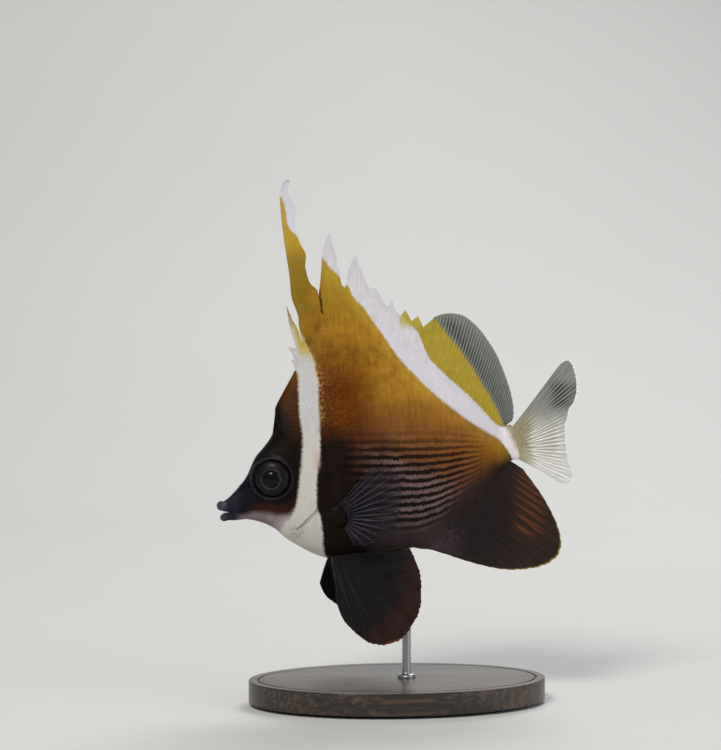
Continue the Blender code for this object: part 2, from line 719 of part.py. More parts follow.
def pelvic_fin(name, side, splay, forward, fish, tree):
    """A belly fin, a broad fan that hangs from the chest, leans outwards and spreads forwards."""
    columns = shares_of(2 * PELVIC_RAYS - 1)
    tip_of = dict(zip(columns, evenly_along(PELVIC_MARGIN, columns)))
    start, end = PELVIC_ROOT
    inner, outer = PELVIC_ROOT_Y - FIN_ROOT / 2, PELVIC_ROOT_Y + FIN_ROOT / 2

    def point_at(u, v):
        x = start + (end - start) * u
        height = min(underside(tree, x, side * y) for y in (inner, PELVIC_ROOT_Y, outer)) - 1.5 * GAP / MM
        tip = tip_of[u] - Vector((forward * (1 - u), 0.0))
        down = tip.y * v
        bow = PELVIC_BOW * math.sin(math.pi * v)
        return (x + (tip.x - x) * v,
                side * (PELVIC_ROOT_Y + max(down, 0.0) * math.sin(splay) + bow),
                height - down * math.cos(splay))

    membrane(name, fish, "fin_dark", columns, 8, point_at, lambda i, v: ray_thickness(i % 2 == 0, v))


def stand(fish, tree):
    """The display stand: an oval plinth with rounded edges and one rod up to the belly."""
    bm = bmesh.new()
    bmesh.ops.create_cone(bm, cap_ends=True, segments=48, radius1=1.0, radius2=1.0, depth=1.0)
    bm.transform(Matrix.Translation((0, 0, STAND_HEIGHT / 2 * MM))
                 @ Matrix.Diagonal((STAND_LENGTH / 2 * MM, STAND_DEPTH / 2 * MM, STAND_HEIGHT * MM, 1.0)))
    base = dress(mesh_object("stand_base", bm, fish), "stand_wood")
    bevel = base.modifiers.new("edges", "BEVEL")
    bevel.width = 1.0 * MM
    bevel.segments = 2
    bevel.limit_method = "ANGLE"
    top = min(underside(tree, ROD_X + dx, 0.0) for dx in (-ROD_RADIUS, 0.0, ROD_RADIUS)) - GAP / MM
    low = STAND_HEIGHT + GAP / MM
    foot = 2 * ROD_RADIUS
    profile = ((0.0, top), (ROD_RADIUS - 0.3, top), (ROD_RADIUS, top - 0.3), (ROD_RADIUS, low + 2.0),
               (foot - 0.3, low + 1.5), (foot, low + 1.2), (foot, low), (0.0, low))
    dress(lathe("stand_rod", profile, fish, Matrix.Translation((ROD_X * MM, 0, 0)), 24), "stand_steel")


def finish_flesh(pieces):
    """Gives each piece of flesh its own finish and smooth shading."""
    finishes = {"lower_jaw": "head_skin", "head": "head_skin", "trunk": "body_skin", "tail_stalk": "tail_skin",
                "gill_cover_left": "head_skin", "gill_cover_right": "head_skin"}
    for name, obj in pieces.items():
        dress(obj, finishes[name])
        obj.data.shade_smooth()
        obj.data.set_sharp_from_angle(angle=math.radians(40))


def main():
    """Builds the fish and its stand."""
    clear_scene()
    fish = new_collection("bannerfish")
    cutters = new_collection("cutters", hidden=True)
    body = make_body(fish)
    plain = surface_of(body)
    apply_boolean(body, "UNION", body_forms(cutters, plain))
    apply_boolean(body, "DIFFERENCE", body_hollows(cutters, plain))
    largest_surface(body)
    pieces = part_body(body, cutters)
    pieces.update(gill_covers(pieces["head"], fish, cutters))
    finish_flesh(pieces)
    trunk = surface_of(pieces["trunk"])
    for name, side in (("left", -1), ("right", 1)):
        eye("eye_" + name, side, fish)
        pectoral_fin("pectoral_fin_" + name, side, fish, trunk)
        pelvic_fin("pelvic_fin_" + name, side, PELVIC_SPLAY[name], PELVIC_FORWARD[name], fish, trunk)
    front_root, spines_root, soft_root = (
        root_line(back_line, span) for span in (FRONT_ROOT, SPINES_ROOT, SOFT_ROOT))
    anal_root = root_line(belly_line, ANAL_ROOT)
    spiny_fin("dorsal_front", fish, "fin_white", FRONT_MARGIN, FRONT_TIPS, front_root, 4)
    banner(fish)
    spiny_fin("dorsal_spines", fish, "fin_gold", SPINES_MARGIN, SPINES_TIPS, spines_root, 6)
    soft_fin("dorsal_soft", fish, "fin_gold", SOFT_RAYS, 6, soft_root, SOFT_MARGIN, SOFT_SWAY)
    soft_fin("anal_fin", fish, "fin_dark", ANAL_RAYS, 7, anal_root, ANAL_MARGIN, SOFT_SWAY)
    tail_fin(fish)
    stand(fish, trunk)


main()
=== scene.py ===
"""Looks of a horned bannerfish: a life-size museum model held by a plain display stand.

The fish faces -X and its mid plane is y = 0. Shapes are worked out in millimetres and stored in metres.
One skin stands for all the flesh. A coat of scales lies over it, and the fins, eyes and stand are
their own pieces.
"""

import logging
import math
from collections.abc import Callable, Sequence
from dataclasses import dataclass, field
from enum import Enum

import bpy
import numpy as np
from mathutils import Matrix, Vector
from mathutils.bvhtree import BVHTree


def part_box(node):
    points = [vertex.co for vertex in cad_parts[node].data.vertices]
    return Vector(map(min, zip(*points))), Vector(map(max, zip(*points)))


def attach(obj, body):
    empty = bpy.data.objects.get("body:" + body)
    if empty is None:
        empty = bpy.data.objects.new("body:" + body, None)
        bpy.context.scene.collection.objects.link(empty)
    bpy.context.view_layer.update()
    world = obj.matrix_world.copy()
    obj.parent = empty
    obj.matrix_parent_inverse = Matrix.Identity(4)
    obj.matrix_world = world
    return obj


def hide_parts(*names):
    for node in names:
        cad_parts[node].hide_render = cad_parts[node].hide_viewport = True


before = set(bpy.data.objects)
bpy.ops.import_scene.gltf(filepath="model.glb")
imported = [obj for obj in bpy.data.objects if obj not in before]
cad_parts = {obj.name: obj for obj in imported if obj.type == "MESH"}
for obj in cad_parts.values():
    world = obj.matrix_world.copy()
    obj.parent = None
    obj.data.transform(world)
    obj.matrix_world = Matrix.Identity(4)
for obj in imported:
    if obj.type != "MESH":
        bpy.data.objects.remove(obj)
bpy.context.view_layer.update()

log = logging.getLogger("bannerfish")

MM = 0.001
BODY = "root"
SEED = 7

Array = np.ndarray
Points = Sequence[tuple[float, ...]]
Pair = tuple[float, float]
Stops = tuple[tuple[float, str | float], ...]
Piece = bpy.types.Object
Tree = bpy.types.NodeTree
Socket = bpy.types.NodeSocket


class Side(Enum):
    """The fish's left, which the camera sees, and its right. The value is the sign of y."""

    LEFT = -1
    RIGHT = 1


class Axis(Enum):
    """An axis of the side view."""

    X = "along"
    Z = "up"


Place = dict[Axis, Socket]

# Cross-sections from the lips to the root of the tail fin: back (x, z), belly (x, z), half width, height of
# the widest place as a share, and how sharp the edges of the back and the belly are.
STATIONS = (
    (-49.7, 57, -48.7, 52.3, 1.3, 0.5, 0, 0),
    (-48, 58, -46.9, 52.1, 1.8, 0.5, 0, 0),
    (-46.1, 59.8, -44.1, 52.2, 2.2, 0.5, 0, 0),
    (-44.2, 62, -41.6, 52.1, 2.7, 0.5, 0, 0),
    (-42.5, 64.6, -39.4, 51.6, 3.3, 0.52, 0, 0),
    (-41.3, 67.4, -36.9, 50.7, 4, 0.55, 0, 0.1),
    (-39.9, 70, -34.3, 49.2, 4.7, 0.58, 0, 0.1),
    (-37.7, 72.6, -31.8, 46.9, 5.4, 0.57, 0.1, 0.2),
    (-35.7, 75.5, -28.4, 44.8, 6, 0.52, 0.2, 0.3),
    (-34.5, 79.2, -24.2, 42.5, 6.5, 0.47, 0.3, 0.3),
    (-34.6, 83.2, -19.4, 41, 7, 0.43, 0.5, 0.2),
    (-32.3, 87.9, -14.6, 41.2, 7.3, 0.4, 0.7, 0.2),
    (-29, 94, -9.8, 42, 7.4, 0.38, 0.9, 0.2),
    (-26.6, 100, -4.7, 42.7, 7.4, 0.37, 1, 0.2),
    (-22.6, 105.7, 0.2, 43.2, 7.2, 0.37, 1, 0.3),
    (-16.5, 109, 4.9, 43.7, 6.8, 0.38, 1, 0.6),
    (-10.1, 108.2, 9.3, 44.9, 6.3, 0.4, 1, 1),
    (-3.6, 104.4, 13.8, 47.7, 5.7, 0.42, 1, 1),
    (3.5, 98.8, 18.4, 51, 5, 0.45, 1, 1),
    (10.7, 93.1, 22.4, 55.2, 4.3, 0.47, 1, 1),
    (17.8, 87.5, 25.9, 59.4, 3.6, 0.5, 0.9, 0.9),
    (24.1, 82.4, 28.7, 63.7, 3, 0.5, 0.6, 0.6),
    (29.3, 78.7, 31.3, 67.1, 2.4, 0.5, 0.4, 0.4),
    (31.6, 77.9, 33.3, 68.1, 2, 0.5, 0.3, 0.3),
    (33.1, 77.9, 35.1, 67.9, 1.6, 0.5, 0.3, 0.3),
)

EYE_CENTRE = (-36, 4.6, 63.9)
EYE_TURN = math.radians(17)

# The hind edge of the gill cover from nape to throat, and the edge of the bone plate in front of it.
GILL_EDGE = ((-31, 100), (-28.5, 90), (-25.6, 82), (-23.4, 75.5), (-22.1, 70), (-21.7, 65), (-22, 60),
             (-22.9, 56), (-25.4, 53.2), (-28.3, 50.5), (-32.5, 48.6), (-37.5, 49))
CHEEK_EDGE = ((-30.4, 72), (-29.5, 66), (-29.8, 60), (-31.2, 56.2), (-34.5, 54.3), (-39.5, 53.8))
JAW_EDGE = ((-46.9, 54.6), (-45.2, 54.3), (-43.4, 53.3), (-42.3, 51.5))


def smooth(value: Array | float, low: float, high: float) -> Array | float:
    """0 up to low, 1 from high on, and an even curve between. With low above high it falls instead."""
    share = np.clip((value - low) / (high - low), 0, 1)
    return share * share * (3 - 2 * share)


def bump(distance: Array, width: Array | float) -> Array:
    """A round bump of height 1 that fades within about twice its width."""
    return np.exp(-((distance / width) ** 2))


def unit(vectors: Array) -> Array:
    """The vectors at a length of 1."""
    return vectors / np.maximum(np.linalg.norm(vectors, axis=-1, keepdims=True), 1e-9)


def curve_at(points: Points | Array, places: Array) -> Array:
    """Positions on the smooth curve that passes through the points.

    Args:
        points: The points, which the curve passes at places 0, 1, 2 and so on.
        places: Where along the curve to look.

    Returns:
        One row a place.
    """
    points = np.asarray(points, float)
    places = np.atleast_1d(np.asarray(places, float))
    last = len(points) - 1
    start = np.clip(places.astype(int), 0, last - 1)
    f = (places - start)[:, None]
    a, b, c, d = (points[np.clip(start + k, 0, last)] for k in (-1, 0, 1, 2))
    return 0.5 * (2 * b + (c - a) * f + (2 * a - 5 * b + 4 * c - d) * f**2 + (3 * b - a - 3 * c + d) * f**3)


def evenly(line: Array, shares: Array) -> Array:
    """Points at these shares of the length of a broken line."""
    reached = np.concatenate(([0.0], np.cumsum(np.linalg.norm(np.diff(line, axis=0), axis=1))))
    return np.stack([np.interp(np.asarray(shares) * reached[-1], reached, side) for side in line.T], axis=1)


def along_curve(points: Points, shares: Array, steps: int = 12) -> Array:
    """Points at these shares of the length of the smooth curve through the given points."""
    last = len(points) - 1
    return evenly(curve_at(points, np.linspace(0, last, last * steps + 1)), shares)


def distance_from(points: Points, x: Array, z: Array) -> Array:
    """How far places in the side view lie from a smooth line.

    Args:
        points: Points of the line.
        x: The places' x.
        z: The places' z.

    Returns:
        Distances in millimetres, above 0 on the right-hand side of the line's direction.
    """
    line = along_curve(points, np.linspace(0, 1, 90))
    place = np.stack([np.ravel(x), np.ravel(z)], axis=1)
    best = np.full(len(place), np.inf)
    signed = np.zeros(len(place))
    for start, step in zip(line, np.diff(line, axis=0)):
        offset = place - start
        share = np.clip(offset @ step / (step @ step), 0, 1)
        length = np.hypot(*(offset - share[:, None] * step).T)
        turn = offset[:, 0] * step[1] - offset[:, 1] * step[0]
        nearer = length < best
        best = np.where(nearer, length, best)
        signed = np.where(nearer, np.copysign(length, turn), signed)
    return signed.reshape(np.shape(x))


def select_only(piece: Piece | None = None) -> None:
    """Selects one piece and makes it active, or selects nothing.

    Args:
        piece: The piece, or none.
    """
    bpy.ops.object.select_all(action="DESELECT")
    if piece:
        piece.select_set(True)
        bpy.context.view_layer.objects.active = piece


def pick(piece: Piece, kind: str, chosen: Callable[[object], bool]) -> None:
    """Opens a piece in edit mode with only some points or faces selected.

    Args:
        piece: The piece.
        kind: VERT or FACE.
        chosen: Says of a point or face whether it is selected.
    """
    select_only(piece)
    bpy.ops.object.mode_set(mode="EDIT")
    bpy.ops.mesh.select_mode(type=kind)
    bpy.ops.mesh.select_all(action="DESELECT")
    bpy.ops.object.mode_set(mode="OBJECT")
    for element in piece.data.vertices if kind == "VERT" else piece.data.polygons:
        element.select = chosen(element)
    bpy.ops.object.mode_set(mode="EDIT")


def lay_sheet(name: str, points: Array) -> Piece:
    """A sheet of faces that passes through rows of points.

    Args:
        name: The piece's name.
        points: Rows by columns by x, y, z, in millimetres.

    Returns:
        The piece, with a UV map that runs along the columns and the rows.
    """
    rows, columns = points.shape[:2]
    select_only()
    bpy.ops.mesh.primitive_grid_add(x_subdivisions=columns - 1, y_subdivisions=rows - 1, size=1)
    sheet = bpy.context.object
    sheet.name = sheet.data.name = name
    sheet.data.vertices.foreach_set("co", (points * MM).astype(np.float32).ravel())
    sheet.data.update()
    return sheet


def apply(piece: Piece, kind: str, **settings: object) -> None:
    """Adds one modifier to a piece, sets its options and applies it.

    Args:
        piece: The piece to change.
        kind: Blender's name for the modifier.
        settings: The modifier's options.
    """
    modifier = piece.modifiers.new(kind.lower(), kind)
    for name, value in settings.items():
        setattr(modifier, name, value)
    select_only(piece)
    bpy.ops.object.modifier_apply(modifier=modifier.name)


def round_edges(piece: Piece, width: float, segments: int, angle: float) -> None:
    """Rounds the edges of a piece that are sharper than an angle, in millimetres and degrees."""
    apply(piece, "BEVEL", width=width * MM, segments=segments, limit_method="ANGLE",
          angle_limit=math.radians(angle))


def close_up(piece: Piece, merge: float = 0.002) -> None:
    """Merges points within a distance in millimetres, fills the open ends and turns all faces outwards.

    Args:
        piece: The piece.
        merge: The distance in millimetres.
    """
    select_only(piece)
    bpy.ops.object.mode_set(mode="EDIT")
    bpy.ops.mesh.select_all(action="SELECT")
    bpy.ops.mesh.remove_doubles(threshold=merge * MM)
    bpy.ops.mesh.fill_holes(sides=0)
    bpy.ops.mesh.select_all(action="SELECT")
    bpy.ops.mesh.normals_make_consistent(inside=False)
    bpy.ops.object.mode_set(mode="OBJECT")


def shade(piece: Piece, angle: float) -> None:
    """Shades a piece smooth across edges up to an angle, in degrees."""
    select_only(piece)
    bpy.ops.object.shade_smooth_by_angle(angle=math.radians(angle))


def turned(profile: Array, sides: int) -> Array:
    """Rows of points round the Z axis, one row for each (radius, height) of a profile.

    Args:
        profile: Points of (radius, height).
        sides: Steps of the turn.

    Returns:
        The grid of points.
    """
    turn = np.linspace(0, 2 * np.pi, sides + 1)
    radius, height = profile[:, :1], profile[:, 1:]
    return np.stack([radius * np.cos(turn), radius * np.sin(turn), height + 0 * turn], axis=-1)


def roll(name: str, path: Array, radii: Array, sides: int = 24) -> Piece:
    """A closed round roll along a path, with its own radius at each point.

    Args:
        name: The piece's name.
        path: Points in millimetres.
        radii: One radius a point.
        sides: Points round the roll.

    Returns:
        The piece.
    """
    forward = unit(np.gradient(path, axis=0))
    up = np.array((0.0, 0.0, 1.0))
    up = unit(up - (up * forward).sum(axis=1)[:, None] * forward)
    across = np.cross(forward, up)
    turn = np.linspace(0, 2 * np.pi, sides + 1)[None, :, None]
    ring = np.cos(turn) * up[:, None] + np.sin(turn) * across[:, None]
    piece = lay_sheet(name, path[:, None] + radii[:, None, None] * ring)
    close_up(piece)
    return piece


def set_attribute(piece: Piece, name: str, values: Array) -> None:
    """Stores one number a point on a piece's mesh."""
    attribute = piece.data.attributes.new(name, "FLOAT", "POINT")
    attribute.data.foreach_set("value", np.asarray(values, np.float32).ravel())


def dress(piece: Piece, material: bpy.types.Material, slot: str, *replaced: str) -> Piece:
    """Gives a piece its material, sets it on the body and reports it.

    Args:
        piece: The finished piece.
        material: Its material.
        slot: Not used.
        replaced: The CAD nodes that it stands for.

    Returns:
        The piece.
    """
    if replaced:
        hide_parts(*replaced)
    piece.data.materials.clear()
    piece.data.materials.append(material)
    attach(piece, BODY)
    piece.data.calc_loop_triangles()
    log.info("%s: %d triangles", piece.name, len(piece.data.loop_triangles))
    return piece


def linear(colour: str | float) -> tuple[float, float, float, float]:
    """A hex sRGB colour, or a plain level of grey, as linear red, green, blue and 1.

    Args:
        colour: The hex colour, or the level.

    Returns:
        The four channels.
    """
    if not isinstance(colour, str):
        return (colour, colour, colour, 1.0)
    channels = [int(colour[k:k + 2], 16) / 255 for k in (1, 3, 5)]
    return (*(c / 12.92 if c <= 0.04045 else ((c + 0.055) / 1.055) ** 2.4 for c in channels), 1.0)


def add(tree: Tree, kind: str, *values: object, out: int | str = 0, stops: Stops = (),
        **settings: object) -> Socket:
    """Adds a node, sets its options, and fills its inputs with values or with links from other nodes.

    Args:
        tree: The tree that the node goes in.
        kind: The node's type, as it goes on after ShaderNode.
        values: For the inputs in use, in their order: a value, a hex colour, an output, or None to skip.
        out: The name or number of the wanted output among those in use.
        stops: The places and colours of a colour ramp.
        settings: The node's options.

    Returns:
        The output.
    """
    node = tree.nodes.new("ShaderNode" + kind)
    for name, value in settings.items():
        setattr(node, name, value)
    for socket, value in zip([each for each in node.inputs if each.enabled], values):
        if isinstance(value, Socket):
            tree.links.new(value, socket)
        elif value is not None:
            socket.default_value = linear(value) if isinstance(value, str) else value
    if stops:
        ramp = node.color_ramp.elements
        for stop, (spot, colour) in zip(ramp, (stops[0], stops[-1])):
            stop.position = spot
            stop.color = linear(colour)
        for spot, colour in stops[1:-1]:
            ramp.new(spot).color = linear(colour)
    return node.outputs[out] if isinstance(out, str) else [each for each in node.outputs if each.enabled][out]


@dataclass(frozen=True)
class Finish:
    """What a surface is made of: a Principled shader with constants, and other inputs that nodes draw."""

    name: str
    constants: dict[str, float]

    def inputs(self, tree: Tree) -> dict[str, Socket]:
        """What nodes draw, by the shader's input. Each kind of finish has its own."""
        raise NotImplementedError

    def material(self) -> bpy.types.Material:
        """Builds the material.

        Returns:
            The finished material.
        """
        made = bpy.data.materials.new(self.name)
        made.use_nodes = True
        shader = made.node_tree.nodes["Principled BSDF"]
        for socket, value in self.constants.items():
            shader.inputs[socket].default_value = value
        for socket, source in self.inputs(made.node_tree).items():
            made.node_tree.links.new(source, shader.inputs[socket])
        return made


def wet(roughness: float, film: float, shine: float, film_roughness: float = 0.22) -> dict[str, float]:
    """Constants of moist skin: its own soft sheen under a thin film of water or mucus."""
    return {"Roughness": roughness, "IOR": 1.38, "Specular IOR Level": shine,
            "Coat Weight": film, "Coat Roughness": film_roughness, "Coat IOR": 1.36}


@dataclass(frozen=True)
class GrainFinish(Finish):
    """A finish whose colour follows a noise that is stretched along the grain.

    scale is how many features go on a metre of each axis, relief the strength and the depth in millimetres.
    """

    stops: Stops
    scale: tuple[float, float, float]
    detail: float
    distortion: float = 0.0
    broad: tuple[float, float, float] | None = None
    relief: Pair | None = None
    rough: Pair | None = None

    def inputs(self, tree: Tree) -> dict[str, Socket]:
        """The colour, and the relief and roughness where the finish has them.

        Args:
            tree: The material's nodes.

        Returns:
            The outputs by the shader's input.
        """
        spot = add(tree, "TexCoord", out="Object")
        drawn = add(tree, "Mapping", spot, None, None, self.scale)
        grain = shown = add(tree, "TexNoise", drawn, 1, self.detail, None, None, self.distortion)
        if self.broad:
            wide = add(tree, "TexNoise", add(tree, "Mapping", spot, None, None, self.broad), 1, 3)
            shown = add(tree, "Math", wide, 0.7, grain, operation="MULTIPLY_ADD")
        found = {"Base Color": add(tree, "ValToRGB", shown, stops=self.stops)}
        if self.relief:
            strength, depth = self.relief
            found["Normal"] = add(tree, "Bump", strength, depth * MM, None, grain)
        if self.rough:
            found["Roughness"] = add(tree, "MapRange", grain, 0, 1, *self.rough)
        return found


# Patterns are drawn in a square window of the side view, whose low corner and width are given here.
WINDOW = {Axis.X: -70.0, Axis.Z: 10.0}
WINDOW_WIDTH = 140.0


@dataclass(frozen=True)
class Edge:
    """A line in the side view where a colour ends.

    along is the axis that the points are counted along, and each point is (place, limit on the other axis).
    One single point is a straight limit. The colour lies beyond the limit, or before it.
    """

    along: Axis
    points: Points
    soft: float
    beyond: bool

    def mask(self, tree: Tree, place: Place) -> Socket:
        """Adds the nodes that give 1 on the colour's side and 0 on the other.

        Args:
            tree: The material's nodes.
            place: The position in the window, from 0 to 1 on each axis.

        Returns:
            The mask.
        """
        other = Axis.Z if self.along is Axis.X else Axis.X
        spots = [((a - WINDOW[self.along]) / WINDOW_WIDTH, (b - WINDOW[other]) / WINDOW_WIDTH)
                 for a, b in sorted(self.points)]
        limit: Socket | float = spots[0][1]
        if len(spots) > 1:
            limit = add(tree, "FloatCurve", None, place[self.along])
            mapping = limit.node.mapping
            curve = mapping.curves[0]
            curve.points[0].location = (0.0, spots[0][1])
            curve.points[1].location = (1.0, spots[-1][1])
            for spot in spots:
                curve.points.new(*spot)
            for point in curve.points:
                point.handle_type = "AUTO_CLAMPED"
            mapping.update()
        past = add(tree, "Math", place[other], limit, operation="SUBTRACT")
        half = self.soft / 2 / WINDOW_WIDTH * (1 if self.beyond else -1)
        return add(tree, "MapRange", past, -half, half, interpolation_type="SMOOTHSTEP")


def edges(along: Axis, beyond: bool) -> Callable[[Points | float, float], Edge]:
    """Makes a maker of edges that face one way, from a line of points or one straight limit.

    Args:
        along: The axis that the line runs along.
        beyond: Whether the side of greater places counts, and not the other.

    Returns:
        The maker.
    """
    def make(limit: Points | float, soft: float) -> Edge:
        """An edge at a limit, blurred over a distance in millimetres."""
        return Edge(along, limit if isinstance(limit, tuple) else ((0.0, limit),), soft, beyond)

    return make


behind, ahead = edges(Axis.Z, True), edges(Axis.Z, False)
above, below = edges(Axis.X, True), edges(Axis.X, False)


def shifted(points: Points, rise: float) -> Points:
    """The same line of limits, moved by the same distance."""
    return tuple((place, limit + rise) for place, limit in points)


@dataclass(frozen=True)
class Layer:
    """One colour of the fish's pattern and the edges that hold it in.

    patches is the size of its patches in millimetres, or 0 where it is even.
    """

    colour: str
    edges: tuple[Edge, ...]
    strength: float = 1.0
    patches: float = 0.0

    def mask(self, tree: Tree, place: Place) -> Socket:
        """Adds the nodes for the share of this colour at each place.

        Args:
            tree: The material's nodes.
            place: The position in the window.

        Returns:
            The mask.
        """
        masks = [edge.mask(tree, place) for edge in self.edges]
        if self.patches:
            spot = add(tree, "TexCoord", out="Object")
            noise = add(tree, "TexNoise", spot, 1 / (self.patches * MM), 3)
            masks.append(add(tree, "MapRange", noise, 0.45, 0.67))
        share: Socket | float = self.strength
        for mask in masks:
            share = add(tree, "Math", share, mask, operation="MULTIPLY")
        return share


# Edges of the two white bands, of the pale throat and of the white part of the banner, in millimetres.
BAND_1_FRONT = ((40, -36), (50, -33), (54.7, -29.9), (58.6, -29), (63.6, -28.5), (69.7, -27.8),
                (73.8, -27.5), (76.4, -27.5), (80.2, -28), (84.8, -28.25), (90.4, -28.2), (93, -28.3),
                (93.9, -29), (94.6, -33))
BAND_1_REAR = ((40, -19.6), (41.5, -20.3), (43.5, -21.3), (48.2, -21.9), (53, -22.6), (56.6, -23.8),
               (61, -23.8), (66.9, -23.4), (73.8, -22.7), (80.2, -22.7), (85.2, -22.9), (90.4, -22.8),
               (93.2, -23.4), (96, -23.8), (100, -25.4), (104, -27.2), (108, -28.8), (112, -30.6))
BAND_2_LOW = ((-24, 128), (-21.6, 125.6), (-18.8, 122.2), (-17.1, 120.6), (-15.6, 119), (-14.2, 117.6),
              (-12.6, 114.4), (-9.6, 111.2), (-6.5, 106.8), (-3.7, 102.7), (0, 97.3), (5, 91.9),
              (10.7, 86.5), (15.4, 82.8), (20.2, 79.2), (25, 76.3), (28.5, 74.2), (30.5, 71.8), (32.4, 69),
              (34, 66))
BAND_2_TOP = ((-20, 149), (-8, 148), (-3, 126), (0.2, 114), (1.5, 108.6), (4.9, 105.5), (6.9, 102),
              (8.7, 97.6), (12.6, 93.4), (16.6, 89.8), (20.6, 86.2), (24.6, 82.2), (28.3, 78.3),
              (30.5, 77.6), (31.6, 77.4))
THROAT_TOP = ((-49, 52.6), (-46.4, 53.2), (-43.4, 53.7), (-40.6, 54.4), (-37.5, 54.3), (-34, 53.8),
              (-31.5, 54), (-29, 57), (-27, 60))
BANNER_WHITE = ((128.5, -26), (130, -27.4), (131.6, -28.6), (132.4, -29.7), (134.4, -30.8), (137.8, -31.4),
                (141.4, -32.2), (143.2, -33.4))
SOFT_YELLOW_TOP = ((8, 111), (10, 109), (12.1, 106.4), (17.8, 99.3), (23.5, 90.8), (28.4, 82.3), (30, 79.2),
                   (31.6, 74), (33.5, 70))
BODY_TOP = below(101, 5)

